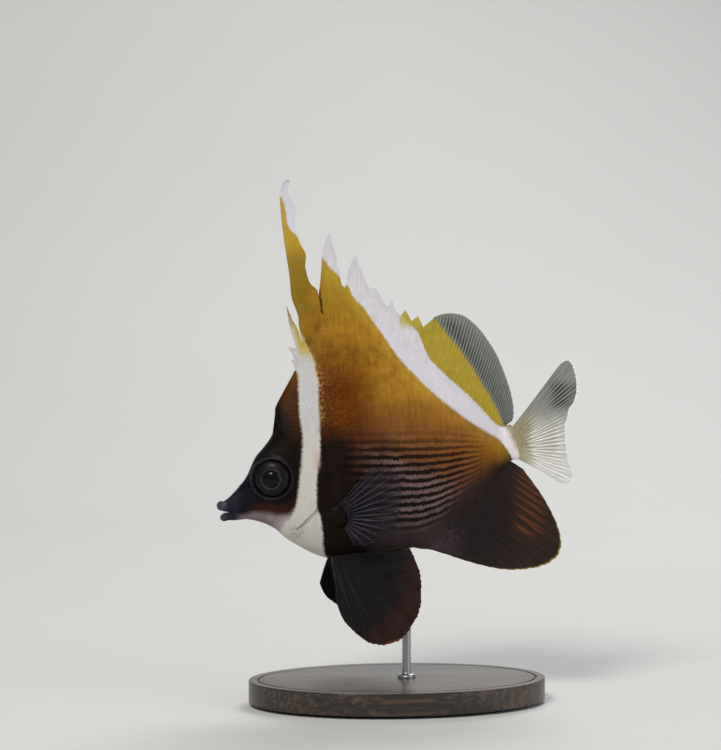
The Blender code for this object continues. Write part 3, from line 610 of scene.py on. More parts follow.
PATTERN = (
    # The bright rim below the second band, and the orange corner in front of the tail
    Layer("#b5952c", (above(shifted(BAND_2_LOW, -3.2), 7),), 0.75),
    Layer("#96591c", (behind(12, 16), above(69, 8)), 0.4),
    Layer("#ae832c", (behind(-8, 9), above(84, 10), ahead(14, 8)), 0.62),
    Layer("#86592f", (behind(-12, 7), above(73, 5), below(85, 7)), 0.4),
    # The red-brown shoulder with its patches and bright specks, and the black of the chest below it
    Layer("#5a2a00", (ahead(-9.5, 14), below(96, 16)), 0.92),
    Layer("#5a3208", (behind(-23, 1), ahead(2, 12), above(80, 8), below(104, 10)), 0.35, 2.4),
    Layer("#3c1a04", (ahead(-18.5, 5), above(80, 8), below(104, 10)), 0.52, 5),
    Layer("#c08a34", (behind(-23, 1), ahead(-14, 8), above(76, 6), below(100, 8)), 0.1, 0.9),
    Layer("#0b0807", (ahead(((45, -4), (52, -9), (60, -11.5), (70, -13), (80, -17)), 8), below(77, 10)),
          0.95),
    # The bars are darker near the chest, with the belly's grey and the anal fin's dark behind and below them
    Layer("#1d1413", (behind(-20, 2), ahead(-3, 10), below(77, 6), above(54, 4)), 0.45),
    Layer("#241b1b", (behind(((36, -4), (44, 4), (50, 12), (60, 20.5), (66, 26), (70, 31)), 9),
          below(71.5, 5)), 0.92),
    Layer("#453638", (behind(-8, 7), ahead(15, 8), below(52, 5), above(30, 1)), 0.6),
    # The head: black-brown, golden at the nape and red-brown in front of the first band
    Layer("#0d0a0a", (ahead(((40, -24), (112, -27.5)), 0.5), BODY_TOP)),
    Layer("#160c05", (behind(((50, -33), (66, -33), (74, -36.5), (84, -37), (96, -38)), 5), ahead(-26, 0.5),
          above(66, 14), BODY_TOP), 0.9),
    Layer("#4a2505", (behind(((50, -29.2), (70, -29.2), (80, -31.2), (86, -34), (96, -36)), 3.6),
          ahead(-26, 0.5), above(78, 18), BODY_TOP), 0.85),
    Layer("#6c480a", (ahead(-26, 0.5), above(91.5, 9), BODY_TOP), 0.72),
    Layer("#11131c", (ahead(((50, -42), (60, -41), (66, -40.5), (74, -38)), 5),), 0.8),
    Layer("#3e1a13", (below(shifted(THROAT_TOP, 2.4), 3.6), behind(-41, 4), ahead(-28, 1.5)), 0.7),
    # The chin's pinkish grey, painted darker than its own colour: painted shade under the jaw.
    Layer("#7f7375", (below(THROAT_TOP, 2.2), behind(-46.2, 3), ahead(-26.5, 1))),
    Layer("#a2979a", (below(shifted(THROAT_TOP, -1), 3), behind(-36.5, 7), ahead(-26.5, 1)), 0.35),
    Layer("#c3bdb6", (behind(-33.5, 6), ahead(-26.5, 1), below(52.5, 4)), 0.9),
    Layer("#262431", (ahead(-44.8, 3),), 0.85),
    Layer("#6d6880", (ahead(-48.8, 1.6),), 0.3),
    # The first band, yellow where it meets the first spines, with a pink patch and the line of the gill cover
    Layer("#c6c3bb", (behind(BAND_1_FRONT, 1.1), ahead(BAND_1_REAR, 1), below(110, 6))),
    Layer("#bfbfc4", (behind(shifted(BAND_1_FRONT, 0.8), 2), ahead(shifted(BAND_1_REAR, -0.6), 2),
          above(76, 8), below(98, 4)), 0.75),
    Layer("#b9a02c", (behind(((94, -27.4), (98, -27.6), (100, -28), (104, -29), (108, -30.2)), 1.6),
          ahead(BAND_1_REAR, 0.6), above(98, 5)), 0.9),
    Layer("#e0b468", (behind(shifted(BAND_1_REAR, -0.6), 0.6), ahead(shifted(BAND_1_REAR, 1.3), 1.6),
          above(80, 5), below(98, 4)), 0.5, 0.8),
    Layer("#c79c98", (behind(((66, -24.4), (69, -24.7), (72, -24.2)), 1.4), ahead(-22.7, 1.2),
          above(66.8, 2), below(71.4, 2)), 0.45),
    Layer("#645a54", (behind(((49.5, -29.4), (50.5, -28.5), (53.3, -26), (56, -23.7)), 0.3),
          ahead(((49.5, -29), (50.5, -28.1), (53.3, -25.6), (56, -23.3)), 0.3), above(49.9, 1),
          below(56.4, 0.8)), 0.65),
    Layer("#6f6a66", (behind(-30.8, 1.4), ahead(-27.2, 1.4), above(47.2, 1.4), below(50.4, 1.4)), 0.6, 0.5),
    # The second band, the yellow of the fin above it, and the pink-white tail stalk with its olive upper rear
    Layer("#d3d0d7", (above(BAND_2_LOW, 1.4), below(BAND_2_TOP, 1.1), behind(-24, 0.4))),
    Layer("#a6922a", (above(BAND_2_TOP, 1.1), behind(-1, 0.6), ahead(31, 1))),
    Layer("#c0a03c", (above(shifted(BAND_2_TOP, 2), 5), behind(-1, 0.6), ahead(31, 1)), 0.4, 2),
    Layer("#b9a736", (behind(0.6, 0.8), ahead(9.5, 2), above(106, 3)), 0.8),
    Layer("#efe6e9", (behind(29, 2.4), above(shifted(BAND_2_LOW, 0.4), 1.2), below(77.6, 0.8)), 0.9),
    Layer("#9a8f68", (behind(((66, 36), (68.9, 35), (73, 33), (77.6, 30.8), (80, 29.8)), 2.2),
          above(68.6, 0.5)), 0.9),
    # The brown foot of the banner, its white rear edge and tip, and the dark slit behind its foot
    Layer("#6b3a08", (behind(-30, 2), ahead(-20.5, 2), above(104, 5), below(118, 6)), 0.35, 3.5),
    Layer("#5c3006", (ahead(((104, -27.2), (109, -27.5), (114, -29.1), (120, -30)), 1.2), above(106, 2),
          below(121, 3)), 0.6, 0.8),
    Layer("#5c3006", (behind(((112, -23), (116, -23.7), (119, -26), (124, -26.8)), 1.2), above(112, 2),
          below(124, 3), ahead(-22.2, 0.3)), 0.5, 0.8),
    Layer("#7d641c", (ahead(-24.5, 3), above(108, 5), below(127, 8)), 0.65),
    Layer("#d4d1db", (behind(BANNER_WHITE, 1), above(128, 1.5), ahead(-24.4, 0.3))),
    Layer("#2c1505", (behind(((107, -21.5), (112, -21.9), (117, -22.3)), 0.35), ahead(((107, -21),
          (112, -21.3), (117, -21.9)), 0.35), above(109.5, 1), below(116.8, 0.8)), 0.9),
    # A thin orange line along the belly
    Layer("#8a5418", (below(((-12, 42.6), (-4.7, 43.2), (0.2, 43.8), (4.9, 44.3), (9.3, 45.5)), 0.5),
          behind(-9, 4), ahead(4, 3), above(39, 1)), 0.6),
)

# Ground colour of the flank from the belly up, by z + 0.35 x in millimetres.
GROUND = ((45, "#120e0e"), (53, "#1f1819"), (60, "#2f2323"), (66, "#3d2a26"), (71, "#4f301e"),
          (76, "#683f17"), (82, "#7f5416"), (88, "#8f6218"), (96, "#946a1b"), (105, "#97721e"),
          (116, "#a8872a"), (128, "#b89634"))
GROUND_TILT = 0.35
GROUND_RANGE = (40, 132)

# Where the dark lines run: behind the chest, below z = 76, and up to the root of the anal fin.
LINES = Layer("#0f0606", (behind(((50, -9), (60, -14), (72, -17)), 6), below(74, 11), ahead(((50, 11),
              (60, 16.5), (70, 22)), 10), above(((-20, 51), (5, 49.5), (20, 54)), 5)))
# The bars between the lines are redder behind and below this edge.
LIT_BARS = behind(((50, 17), (60, 16), (66, 6), (72, -6), (78, -14)), 11)


@dataclass(frozen=True)
class Pattern:
    """The fish's markings, which the skin, the scales and the fins share."""

    bar_colours: tuple[str, str] = ("#846d69", "#80502e")
    strengths: Pair = (0.8, 0.88)

    def position(self, tree: Tree) -> Place:
        """Adds the nodes for the place in the side view, with a fine ragged offset of the edges.

        Args:
            tree: The material's nodes.

        Returns:
            The place in the window on each axis, from 0 to 1.
        """
        spot = add(tree, "TexCoord", out="Object")
        ragged = add(tree, "TexNoise", spot, 1100, 2, out="Color")
        centred = add(tree, "VectorMath", ragged, (0.5, 0.5, 0.5), operation="SUBTRACT")
        moved = add(tree, "VectorMath", centred, (0.0009, 0.0, 0.0005), spot, operation="MULTIPLY_ADD")
        corner = (-WINDOW[Axis.X] / WINDOW_WIDTH, 0.0, -WINDOW[Axis.Z] / WINDOW_WIDTH)
        window = add(tree, "Mapping", moved, corner, None, (1 / MM / WINDOW_WIDTH,) * 3)
        return {axis: add(tree, "SeparateXYZ", window, out=axis.name) for axis in Axis}

    def ground(self, tree: Tree, place: Place) -> Socket:
        """Adds the colour that the flank has below its markings: dark at the belly and golden at the back.

        Args:
            tree: The material's nodes.
            place: The position in the window.

        Returns:
            The colour.
        """
        low, high = GROUND_RANGE
        height = add(tree, "Math", place[Axis.X], GROUND_TILT, place[Axis.Z], operation="MULTIPLY_ADD")
        start = WINDOW[Axis.Z] + GROUND_TILT * WINDOW[Axis.X]
        share = add(tree, "MapRange", height, (low - start) / WINDOW_WIDTH, (high - start) / WINDOW_WIDTH)
        stops = tuple(((level - low) / (high - low), colour) for level, colour in GROUND)
        return add(tree, "ValToRGB", share, stops=stops)

    def lines(self, tree: Tree, place: Place) -> tuple[Socket, Socket]:
        """Adds the dark, beaded lines between the rows of scales on the lower flank.

        Args:
            tree: The material's nodes.
            place: The position in the window.

        Returns:
            The masks of the bars between the lines, and of the lines.
        """
        row, column = (add(tree, "Attribute", attribute_name="scale_" + way, out="Fac")
                       for way in ("row", "column"))
        spot = add(tree, "TexCoord", out="Object")
        drift = add(tree, "TexNoise", spot, 260, 3, 0.65)
        beat = add(tree, "Math", column, 2 * math.pi, operation="MULTIPLY")
        bead = add(tree, "Math", beat, operation="COSINE")
        centre = row
        for wave, size in ((drift, 0.7), (add(tree, "TexNoise", spot, 850, 1), 0.3), (bead, 0.04)):
            centre = add(tree, "Math", wave, size, centre, operation="MULTIPLY_ADD")
        off_row = add(tree, "Math", centre, 0.5, operation="PINGPONG")
        off_line = add(tree, "Math", 0.5, off_row, operation="SUBTRACT")
        width = add(tree, "Math", bead, 0.03, 0.34, operation="MULTIPLY_ADD")
        line = add(tree, "MapRange", off_line, width, 0.14, interpolation_type="SMOOTHSTEP")
        area = LINES.mask(tree, place)
        dark = add(tree, "Math", line, area, operation="MULTIPLY")
        rest = add(tree, "Math", area, dark, operation="SUBTRACT")
        uneven = add(tree, "MapRange", drift, 0.35, 0.6, 0.45, 1)
        return add(tree, "Math", rest, uneven, operation="MULTIPLY"), dark

    def colour(self, tree: Tree) -> Socket:
        """Adds all of the markings.

        Args:
            tree: The material's nodes.

        Returns:
            The colour.
        """
        place = self.position(tree)
        painted = self.ground(tree, place)
        pale, dark = self.lines(tree, place)
        bar = add(tree, "Mix", LIT_BARS.mask(tree, place), *self.bar_colours, data_type="RGBA")
        masks = [(pale, bar, self.strengths[0])]
        masks += [(layer.mask(tree, place), layer.colour, 1.0) for layer in PATTERN]
        masks.append((dark, LINES.colour, self.strengths[1]))
        for mask, colour, strength in masks:
            share = add(tree, "Math", mask, strength, operation="MULTIPLY")
            painted = add(tree, "Mix", share, painted, colour, data_type="RGBA")
        return painted


@dataclass(frozen=True)
class SkinFinish(Finish):
    """Fish skin under a thin film of mucus: soft in its own sheen, with a wet gloss over it."""

    pattern: Pattern = Pattern()
    plates: bool = False
    orbit: float = 5.75

    def eye_ring(self, tree: Tree, spot: Socket, colour: Socket) -> Socket:
        """Adds the thin pale ring round the eye's socket.

        Args:
            tree: The material's nodes.
            spot: The position.
            colour: The colour without the ring.

        Returns:
            The colour with the ring.
        """
        x, _, z = EYE_CENTRE
        flat = add(tree, "VectorMath", spot, (1, 0, 1), operation="MULTIPLY")
        away = add(tree, "VectorMath", flat, (x * MM, 0, z * MM), operation="DISTANCE")
        off = add(tree, "Math", away, self.orbit * MM, operation="SUBTRACT")
        near = add(tree, "Math", off, operation="ABSOLUTE")
        ring = add(tree, "MapRange", near, 0, 0.4 * MM, 0.45, 0, interpolation_type="SMOOTHSTEP")
        return add(tree, "Mix", ring, colour, "#38343c", data_type="RGBA")

    def inputs(self, tree: Tree) -> dict[str, Socket]:
        """The markings with fine blotches and streaks, painted glints in bright specks, and the skin's grain
        or a scale's rings.

        Args:
            tree: The material's nodes.

        Returns:
            The outputs by the shader's input.
        """
        spot = add(tree, "TexCoord", out="Object")
        colour = self.pattern.colour(tree)
        if not self.plates:
            colour = self.eye_ring(tree, spot, colour)
        blotch = add(tree, "TexNoise", spot, 230, 4)
        streak = add(tree, "TexNoise", add(tree, "Mapping", spot, None, None, (1100, 500, 130)), 1, 2)
        level = add(tree, "MapRange", add(tree, "Math", blotch, streak, operation="ADD"), 0.6, 1.4, -0.3, 0.3)
        depth = add(tree, "MapRange", add(tree, "RGBToBW", colour), 0.2, 0.5, 1, 0.22)
        tone = add(tree, "Math", level, depth, 1, operation="MULTIPLY_ADD")
        # Bright random specks lift the colour by up to a fifth: painted glints.
        glint_and_scale_factors = [add(tree, "MapRange", add(tree, "TexNoise", spot, 2600, 1), 0.68, 0.78, 1, 1.2)]
        height = add(tree, "TexNoise", spot, 3200, 3)
        if self.plates:
            own = add(tree, "UVMap", uv_map="scale")
            along = add(tree, "SeparateXYZ", own)
            glint_and_scale_factors += [add(tree, "MapRange", along, *ends)
                        for ends in ((0.8, 0.98, 1, 0.86), (0.5, 0.82, 0.95, 1.05))]
            ring = add(tree, "TexWave", own, 3.2, 0.6, out="Fac", wave_type="RINGS", rings_direction="Z")
            height = add(tree, "Math", ring, 0.6, height, operation="MULTIPLY_ADD")
        for factor in glint_and_scale_factors:
            tone = add(tree, "Math", tone, factor, operation="MULTIPLY")
        return {"Base Color": add(tree, "VectorMath", colour, tone, operation="SCALE"),
                "Normal": add(tree, "Bump", 0.5, 0.05 * MM, None, height)}


@dataclass
class Flesh:
    """The whole body without its fins, as one skin through all the stations."""

    rings: tuple[int, int] = (10, 14)
    rear_from: int = 12
    half_ring: int = 120
    edge: Pair = (0.3, 0.55)
    inset: float = 0.13
    socket: Pair = (5.0, 2.4)
    orbit: Pair = (5.75, 0.26)
    nostrils: Points = ((-43.7, 61.2), (-42.3, 61.9))
    pad: Points = ((-17.6, 53.2), (2.5, 3.2))
    lips: tuple[Points, Points] = (
        ((-46.9, 1.5, 55.3, 0.75), (-48.3, 1.5, 55.9, 1.0), (-49.3, 0.85, 56.1, 1.3),
         (-49.55, 0.0, 56.15, 1.4)),
        ((-46.7, 1.35, 53.4, 0.65), (-48.0, 1.2, 53.0, 0.85), (-48.7, 0.7, 52.9, 1.0),
         (-48.95, 0.0, 52.9, 1.05)))
    gape: Points = ((-46.3, 54.4), (-55.0, 55.3), (-55.0, 53.3), (-46.3, 54.4))
    gape_reach: float = 4.0
    mouth_end: float = -46.5
    replaced: tuple[str, ...] = ("head", "lower_jaw", "gill_cover_left", "gill_cover_right", "trunk",
                                 "tail_stalk")

    def ring(self, station: Array) -> Array:
        """One cross-section, from the belly up the left side to the back and down the right side.

        Args:
            station: The values of a station.

        Returns:
            Points in millimetres, the last one the same as the first.
        """
        top, low = station[:2], station[2:4]
        half_width, level, back_sharp, belly_sharp = station[4:]
        turn = np.cos(np.linspace(0, np.pi, 181))
        share = np.abs(turn)
        sharp = np.clip(np.where(turn > 0, belly_sharp, back_sharp), 0, 1)
        edge = self.edge[0] + (self.edge[1] - self.edge[0]) * sharp
        drop = np.maximum(1 - share ** (2.6 - 0.9 * sharp), 0) ** (0.42 + 0.5 * sharp)
        height = np.where(turn > 0, level * (1 - share), level + (1 - level) * share)[:, None]
        place = low + (top - low) * height
        flank = np.stack([place[:, 0], -(edge + (half_width - edge) * drop), place[:, 1]], axis=1)
        line = np.vstack(((low[0], 0.0, low[1]), flank, (top[0], 0.0, top[1])))
        left = evenly(line, np.linspace(0, 1, self.half_ring + 1))
        return np.vstack((left, left[-2::-1] * (1, -1, 1)))

    def eye_distance(self, place: Array) -> Array:
        """How far places lie from the axis of the eye on their own side, in millimetres.

        Args:
            place: Positions in millimetres.

        Returns:
            The distances.
        """
        side = np.where(place[..., 1] < 0, -1.0, 1.0)
        x, y, z = EYE_CENTRE
        offset = place - np.stack([np.full_like(side, x), side * y, np.full_like(side, z)], axis=-1)
        out = np.stack([np.full_like(side, -math.sin(EYE_TURN)), side * math.cos(EYE_TURN), 0 * side],
                       axis=-1)
        return np.linalg.norm(offset - (offset * out).sum(axis=-1, keepdims=True) * out, axis=-1)

    def relief(self, place: Array) -> Array:
        """How far the skin stands out from the plain loft: sockets, nostrils, gill covers and fin pads.

        Args:
            place: Positions in millimetres.

        Returns:
            Distances along the normal, in millimetres.
        """
        x, y, z = (place[..., k] for k in range(3))
        from_eye = self.eye_distance(place)
        radius, depth = self.socket
        raised = -self.inset * smooth(x, -45.5, -43)
        raised -= depth * (1 - smooth(from_eye, radius - 0.25, radius + 0.15))
        raised += self.orbit[1] * bump(from_eye - self.orbit[0], 0.35) - 0.1 * bump(from_eye - 6.7, 0.5)
        for nostril_x, nostril_z in self.nostrils:
            away = np.hypot(x - nostril_x, z - nostril_z)
            raised += 0.22 * bump(away - 0.62, 0.28) - 0.45 * (1 - smooth(away, 0.2, 0.5))
        gill = distance_from(GILL_EDGE, x, z)
        cheek = distance_from(CHEEK_EDGE, x, z)
        steps = (
            (gill, smooth(z, 80, 72) * smooth(x, -31, -27.5), 0.3, 4, 0.25, 0.8),
            (cheek, smooth(np.abs(cheek), 6, 0.5) * smooth(z, 73, 70) * smooth(x, -40, -36),
             0.16, 1.5, 0.1, 0.6),
        )
        for off, shown, height, run, fall, fall_run in steps:
            raised += shown * np.where(off > 0, height * np.exp(-np.abs(off) / run),
                                       -fall * np.exp(-np.abs(off) / fall_run))
        raised -= 0.14 * bump(distance_from(JAW_EDGE, x, z), 0.35)
        (pad_x, pad_z), (pad_length, pad_height) = self.pad
        around = 1 - ((x - pad_x) / pad_length) ** 2 - ((z - pad_z) / pad_height) ** 2
        return raised + 0.9 * np.maximum(around, 0) ** 0.7 * np.minimum(np.abs(y) / 4, 1)

    def outwards(self, grid: Array) -> Array:
        """The normals of a lofted grid, all pointing out of the body.

        Args:
            grid: The grid, a closed row round the body at each station.

        Returns:
            The normal at each point.
        """
        wrapped = np.concatenate((grid[:, -2:-1], grid, grid[:, 1:2]), axis=1)
        normal = unit(np.cross(np.gradient(grid, axis=0), wrapped[:, 2:] - wrapped[:, :-2]))
        middle = grid[:, :-1].mean(axis=1, keepdims=True)
        return normal * np.sign(((grid - middle) * normal).sum(axis=2, keepdims=True))

    def lip(self, half: Points) -> Piece:
        """One lip, a rounded roll that runs from corner to corner round the front of the snout.

        Args:
            half: Its (x, y, z, radius) on one side, from the corner to the middle.

        Returns:
            The lip.
        """
        half = np.asarray(half)
        whole = np.vstack((half * (1, -1, 1, 1), half[-2::-1]))
        fine = curve_at(whole, np.linspace(0, len(whole) - 1, 49))
        return roll("lip", fine[:, :3], fine[:, 3])

    def mouth(self, skin: Piece) -> None:
        """Adds the lips to the skin and opens the mouth between them.

        Args:
            skin: The skin.
        """
        corners = np.asarray(self.gape)
        wedge = lay_sheet("gape", np.stack([np.insert(corners, 1, y, axis=1)
                                            for y in (-self.gape_reach, self.gape_reach)]))
        close_up(wedge)
        tools = [(self.lip(half), "UNION") for half in self.lips] + [(wedge, "DIFFERENCE")]
        for tool, operation in tools:
            apply(skin, "BOOLEAN", operation=operation, object=tool, solver="MANIFOLD")
            bpy.data.objects.remove(tool)
        pick(skin, "VERT", lambda point: point.co.x < self.mouth_end * MM)
        bpy.ops.mesh.vertices_smooth(factor=0.5, repeat=2)
        bpy.ops.object.mode_set(mode="OBJECT")

    def build(self) -> Piece:
        """Makes the skin.

        Returns:
            The skin, closed, without its material.
        """
        front, rear = self.rings
        places = np.concatenate((np.arange(0, self.rear_from, 1 / front),
                                 np.arange(self.rear_from, len(STATIONS) - 1 + 1e-6, 1 / rear)))
        grid = np.stack([self.ring(station) for station in curve_at(STATIONS, places)])
        skin = lay_sheet("skin", grid + self.outwards(grid) * self.relief(grid)[..., None])
        close_up(skin)
        self.mouth(skin)
        shade(skin, 50)
        return skin


@dataclass
class Flank:
    """A map of one side of the fish: along by x, and up and down by rows of scales.

    The rows are counted along the skin from the fish's axis, and draw together towards the tail.
    """

    side: Side
    tree: BVHTree
    zs: Array = field(default_factory=lambda: np.arange(39.0, 111.0, 0.5))
    row_steps: Array = field(default_factory=lambda: np.arange(-20.0, 22.0, 0.1))
    xs: Array = field(default_factory=lambda: np.arange(-47.0, 34.7, 0.25))
    axis_height: float = 73.0
    row_pitch: float = 2.24
    column_pitch: float = 1.05
    narrowing: tuple[float, float, float] = (5.0, 28.0, 0.8)

    def __post_init__(self) -> None:
        """Feels the skin with rays and measures along it."""
        self.width = np.array([self.feel(x) for x in self.xs])
        solid = ~np.isnan(self.width)
        self.low, self.high = (
            np.array([end(self.zs[row]) if row.any() else self.axis_height for row in solid])
            for end in (np.min, np.max))
        for row, inside in zip(self.width, solid):
            row[:] = np.interp(self.zs, self.zs[inside], row[inside]) if inside.any() else 0.0
        step = np.minimum(np.hypot(np.diff(self.zs), np.diff(self.width, axis=1)), 1.2)
        reach = np.concatenate((np.zeros((len(self.xs), 1)), np.cumsum(step, axis=1)), axis=1)
        at_axis = np.array([np.interp(self.axis_height, self.zs, row) for row in reach])
        share = self.shrink(self.xs)
        self.rows = (reach - at_axis[:, None]) / (self.row_pitch * share[:, None]) + 0.5
        self.heights = np.array([np.interp(self.row_steps, row, self.zs) for row in self.rows])
        self.pitch = self.column_pitch * (0.35 + 0.65 * share)
        self.columns = np.concatenate(([0.0], np.cumsum(np.diff(self.xs) / self.pitch[1:])))
        self.slope_x, self.slope_z = np.gradient(self.width, self.xs, self.zs)

    def feel(self, x: float) -> Array:
        """The half width of the body at all heights in one slice, nan where there is no body.

        Args:
            x: The slice's place along the body, in millimetres.

        Returns:
            The half width at each height.
        """
        found = np.full(len(self.zs), np.nan)
        for k, z in enumerate(self.zs):
            start = Vector((x, self.side.value * 20.0, z)) * MM
            hit = self.tree.ray_cast(start, Vector((0, -self.side.value, 0)))[0]
            if hit is not None and hit.y * self.side.value > 0:
                found[k] = abs(hit.y) / MM
        return found

    def shrink(self, x: Array) -> Array:
        """The height of a row as a share of its height at mid body."""
        start, length, loss = self.narrowing
        return 1 - loss * np.clip((x - start) / length, 0, 1) ** 1.5

    def look_up(self, table: Array, x: Array, other: Array, steps: Array) -> Array:
        """Reads a table between its entries.

        Args:
            table: Values by x and by steps.
            x: The places' x.
            other: The places on the table's second axis.
            steps: The values of that axis, evenly spaced.

        Returns:
            One value a place.
        """
        i, j = (np.clip((value - axis[0]) / (axis[1] - axis[0]), 0, len(axis) - 1.001)
                for value, axis in ((x, self.xs), (other, steps)))
        a, b = i.astype(int), j.astype(int)
        s, t = i - a, j - b
        near, far = (table[k, b] * (1 - t) + table[k, b + 1] * t for k in (a, a + 1))
        return near * (1 - s) + far * s

    def ends(self, x: Array) -> tuple[Array, Array]:
        """The lowest and the highest place of the body at each x."""
        return np.interp(x, self.xs, self.low), np.interp(x, self.xs, self.high)

    def lay(self, x: Array, row: Array, lift: Array) -> Array:
        """Positions over the skin, in millimetres.

        Args:
            x: Places along the fish.
            row: Rows of scales, up and down.
            lift: Distances from the skin.

        Returns:
            Positions, with the places' own shape and one more axis.
        """
        low, high = self.ends(x)
        z = np.clip(self.look_up(self.heights, x, row, self.row_steps), low + 0.1, high - 0.1)
        y, slope_x, slope_z = (self.look_up(table, x, z, self.zs)
                               for table in (self.width, self.slope_x, self.slope_z))
        steep = np.sqrt(1 + slope_x**2 + slope_z**2)
        return np.stack([x - slope_x / steep * lift, self.side.value * (y + lift / steep),
                         z - slope_z / steep * lift], axis=-1)

    def row_at(self, x: Array, z: Array) -> Array:
        """The row of scales at places in the side view."""
        return self.look_up(self.rows, x, z, self.zs)

    def column_at(self, x: Array) -> Array:
        """The column of scales at places along the fish."""
        return np.interp(x, self.xs, self.columns)


@dataclass
class Coat:
    """Overlapping scales, each a thin closed shell that is rooted in the skin and stands free at its rear."""

    around: int = 9
    overlap_height: float = 1.34
    overlap_length: float = 2.1
    sunk: float = -0.05
    rear_lift: float = 0.085
    thickness: float = 0.045
    patch: float = 0.003
    reach: float = 5.0
    fin_roots: Pair = (-26.0, 27.5)

    def height(self, a: Array, b: Array) -> Array:
        """Height of a scale's upper side: a low ramp, lower at its sides."""
        return self.sunk + (self.rear_lift - self.sunk) * a - 0.006 * b**2

    def template(self) -> tuple[Array, list[tuple[int, ...]]]:
        """One scale on its own.

        Returns:
            Points as (along 0 to 1, across -1 to 1, height), and faces.
        """
        n = self.around
        turn = np.arange(n) * 2 * np.pi / n
        along = 0.5 - 0.5 * np.cos(turn)
        across = np.sin(turn) * (1 - 0.12 * along)
        rim = np.stack([along, across, self.height(along, across) - 0.006], axis=1)
        a, b = 0.5 + (along - 0.5) * 0.62, across * 0.62
        inner = np.stack([a, b, self.height(a, b) + 0.008], axis=1)
        middle = self.height(0.5, 0.0)
        points = np.vstack((rim, inner, (0.5, 0, middle + 0.012), rim - (0, 0, self.thickness),
                            (0.5, 0, middle - self.thickness)))
        faces: list[tuple[int, ...]] = []
        for k in range(n):
            j = (k + 1) % n
            faces += [(k, j, n + j, n + k), (n + k, n + j, 2 * n), (j, k, 2 * n + 1 + k, 2 * n + 1 + j),
                      (2 * n + 1 + j, 2 * n + 1 + k, 3 * n + 1)]
        return points, faces

    def build(self, name: str, flank: Flank, body: Flank, finer: Pair,
              kept: Callable[[Array, Array], Array]) -> Piece:
        """Lays scales over one side of the fish, ever fewer and smaller on the roots of the fins.

        Args:
            name: The piece's name.
            flank: The map of the side with its fins.
            body: The map of the same side without fins.
            finer: How many rows and columns fit in one of the map's own.
            kept: Says of places in the side view, by x and z, whether a scale grows there.

        Returns:
            The piece, with its attributes and UV maps, but without its material.
        """
        rows_in, columns_in = finer
        rng = np.random.default_rng(SEED)
        rows = np.arange(-24 * rows_in, 29 * rows_in).astype(int)
        columns = np.arange(0, flank.columns[-1] * columns_in).astype(int)
        row, column = (grid.ravel().astype(float) for grid in np.meshgrid(rows, columns, indexing="ij"))
        column = column + 0.5 * (row % 2)
        x = np.interp(column / columns_in, flank.columns, flank.xs) + rng.uniform(-0.05, 0.05, len(row))
        row = row / rows_in
        z = flank.look_up(flank.heights, x, row, flank.row_steps)
        low, high = (flank.row_at(x, end) for end in flank.ends(x))
        inside = (row > low + 0.15 / rows_in) & (row < high - 0.15 / rows_in)
        belly, back = body.ends(x)
        outside = np.maximum(z - back, belly - z)
        start, end = self.fin_roots
        share = np.clip(outside / self.reach, 0, 1)
        share = np.where((outside > 0.1) & ((x < start) | (x > end)), 1.0, share)
        chosen = inside & kept(x, z) & (rng.random(len(x)) > share**0.7)
        x, row, z, share = (values[chosen] for values in (x, row, z, share))
        points, faces = self.template()
        size = rng.uniform(0.94, 1.06, len(x)) * (1 - 0.35 * share)
        length = np.interp(x, flank.xs, flank.pitch) / columns_in * self.overlap_length * size
        half = self.overlap_height / 2 / rows_in * size
        fade = np.minimum(flank.shrink(x) * 1.6, 1.0) * (1 - 0.6 * share)
        place_x = x[:, None] + (points[:, 0] - 0.75) * length[:, None]
        place_row = row[:, None] + points[:, 1] * half[:, None]
        lift = points[:, 2] * fade[:, None] + rng.uniform(-0.012, 0.012, (len(x), 1))
        made = flank.lay(place_x, place_row, lift).reshape(-1, 3) * MM
        order = faces if flank.side is Side.RIGHT else [face[::-1] for face in faces]
        mesh = bpy.data.meshes.new(name)
        mesh.from_pydata(made.tolist(), [], [tuple(k * len(points) + point for point in face)
                                             for k in range(len(x)) for face in order])
        piece = bpy.data.objects.new(name, mesh)
        bpy.context.scene.collection.objects.link(piece)
        loops = np.empty(len(mesh.loops), np.int32)
        mesh.loops.foreach_get("vertex_index", loops)
        own = np.tile(np.stack([points[:, 0], 0.5 + points[:, 1] / 2], axis=1), (len(x), 1))
        spot = np.stack([0.02 + 0.96 * (value - steps[0]) / (steps[-1] - steps[0])
                         for value, steps in ((x, flank.xs), (z, flank.zs))], axis=1)
        baked = np.repeat(spot, len(points), axis=0) + (own - 0.5) * self.patch
        for map_name, values in (("OFBake", baked), ("scale", own)):
            mesh.uv_layers.new(name=map_name).data.foreach_set("uv", values[loops].astype(np.float32).ravel())
        set_attribute(piece, "scale_row", place_row)
        set_attribute(piece, "scale_column", flank.column_at(place_x))
        shade(piece, 60)
        return piece


MOIST_FIN = wet(0.38, 0.08, 0.18)


